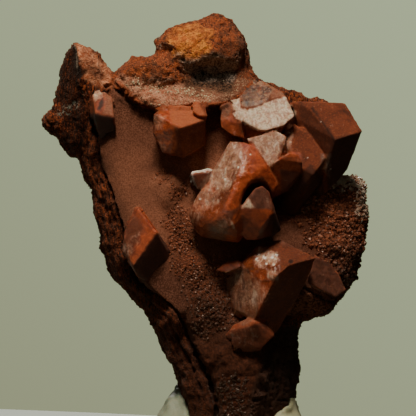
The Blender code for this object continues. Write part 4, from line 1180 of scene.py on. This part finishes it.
def calcite(node_name, finish):
    """One packed group of crystals, reskinned finely, rooted in the stone and painted."""
    flat = flat_faces(node_name)
    face_tree = BVHTree.FromBMesh(flat)
    folds = edge_points(flat)
    flat.free()
    name = node_name.replace("crystal", "calcite")
    piece = reskinned(from_bmesh(name, welded(node_name)), CRYSTAL_VOXEL)
    points = coordinates(piece.data)
    outward = np.zeros((len(points), 3))
    to_edge = np.zeros(len(points))
    for i, point in enumerate(points):
        spot, outward[i], _, _ = face_tree.find_nearest(Vector(point) * MM)
        points[i] = spot / MM
        to_edge[i] = folds.find(spot)[2] / MM
    if node_name in ROUNDED:
        move_to(piece.data, points)
        amounts = patches(ROUNDED[node_name], points[:, 0], points[:, 2])
        flattened(piece, amounts * (points[:, 1] < ROUNDED_Y), ROUNDING_STEPS)
        points = coordinates(piece.data)
    x, z = points[:, 0], points[:, 2]
    ahead = points[:, 1] < FRONT_Y
    wander = 0.25 * rolling(points, 1.1, 33.0)
    soft = SOFT_LOOKS.get(node_name, {})
    looks = {look: patches(soft.get(look, []), x, z) * ahead for look in LOOKS}
    for look, strength, outline in LOOK_OUTLINES[node_name]:
        inside = eased(0.5 + (outline_distance(outline, x, z) + wander) / 0.6) * ahead
        kept = looks[look] if strength else looks[look] * (1 - inside)
        looks[look] = np.maximum(kept, strength * inside)

    worn = eased(1 - to_edge / 0.4) * (0.8 + 0.8 * rolling(points, 1.3, 15.0))
    move = WAVINESS[node_name] * (1.6 * rolling(points, 0.45, 5.0) + rolling(points, 1.2, 8.0))
    move -= 0.10 * worn
    move += looks["wet"] * 0.10 * (rolling(points, 1.6, 19.0) + rolling(points, 0.8, 27.0))
    points += outward * (move + rooted(points, outward))[:, None]
    move_to(piece.data, points)
    for name, values in looks.items():
        paint(piece.data, name, values)
    paint(piece.data, "edge", eased(1 - to_edge / 0.5))
    piece.data.materials.append(finish)
    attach(piece, "root")
    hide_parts(node_name)
    return piece


calcite_look = calcite_finish()
stone_tree = tree_of(stone.data)
for name in CRYSTAL_NODES:
    calcite(name, calcite_look)

# ---- Mounting putty ----------------------------------------------------------------------
# A wad of grey-green putty pressed flat on the stand and thumbed up around the stone's
# foot, with dents from the fingers and grit stuck in it.

PUTTY_VOXEL = 0.5
PUTTY_SOFTENING = 2
PUTTY_REACH = 2.0  # how near the stone the putty takes its shape from it
PUTTY_FRONT = 4.6  # how high it reaches in front of the foot
PUTTY_DENTS = [
    (-12, -5, 8, 4, 0.7), (-12.6, 2, 12, 3.2, 0.5), (12, -4, 8, 4, 0.8), (4, -14, 3, 4, 0.5),
    (-6, -13, 4, 3.6, 0.5), (10.6, 8, 10, 4.4, 0.8), (-3, 14, 8, 4.6, 0.8),
    (-10, 10, 11, 3.4, 0.6), (5, 15, 5, 3.6, 0.6),
]


def putty_finish():
    f = Finish("grey_green_putty")
    place = f.place()
    smear = f.speckle(place, 0.35, 3.0, 0.8)
    grit = f.speckle(place, 2.6, 2.0)
    colour = f.layers(
        f.mixed(f.ramp(smear, 0.35, 0.65), (138, 142, 112), (156, 158, 128)),
        (f.ramp(grit, 0.68, 0.74) * 0.8, (84, 62, 46)),
        # Painted light: the putty turns lighter and yellower towards the right.
        (f.ramp(f.across(place), 4.0, 12.0) * 0.7, (222, 212, 160)),
    )
    return f.surface(f.principled({
        "Base Color": colour, "Roughness": 0.62, "Normal": f.bump(0.3, 0.2, smear + grit),
        "Subsurface Weight": 0.1, "Subsurface Scale": 1.0 * MM,
    }))


def putty():
    """The wad, dented, and pushed up against the stone where it comes near."""
    wad = reskinned(from_bmesh("putty", welded("mounting_putty")), PUTTY_VOXEL, PUTTY_SOFTENING)
    points = coordinates(wad.data)
    outward = point_rows(wad.data, "normal")
    gaps = gaps_to(stone_tree, points, PUTTY_REACH)
    move = 0.14 * rolling(points, 0.5, 3.0)
    for x, y, z, radius, depth in PUTTY_DENTS:
        away = np.linalg.norm(points - np.array([x, y, z]), axis=1) / radius
        move += depth * (0.35 * eased(1 - np.abs(away - 1.0) / 0.35) - eased(1 - away))
    low, high = (np.array(corner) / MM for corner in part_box("mounting_putty"))
    move *= eased(gaps / 1.2) * eased(points[:, 2] / 1.5)
    move += 0.7 * eased(1.6 - gaps / 0.7)
    points = points + outward * move[:, None]
    x, y, z = points.T
    sunk = eased((-1.0 - y) / 4.0) * eased((11.0 - np.abs(x + 0.5)) / 5.0)
    points[:, 2] -= sunk * 0.85 * np.clip(z - PUTTY_FRONT, 0.0, None)
    points = np.clip(points, low, high)
    move_to(wad.data, points)
    wad.data.materials.append(putty_finish())
    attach(wad, "root")
    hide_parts("mounting_putty")


putty()
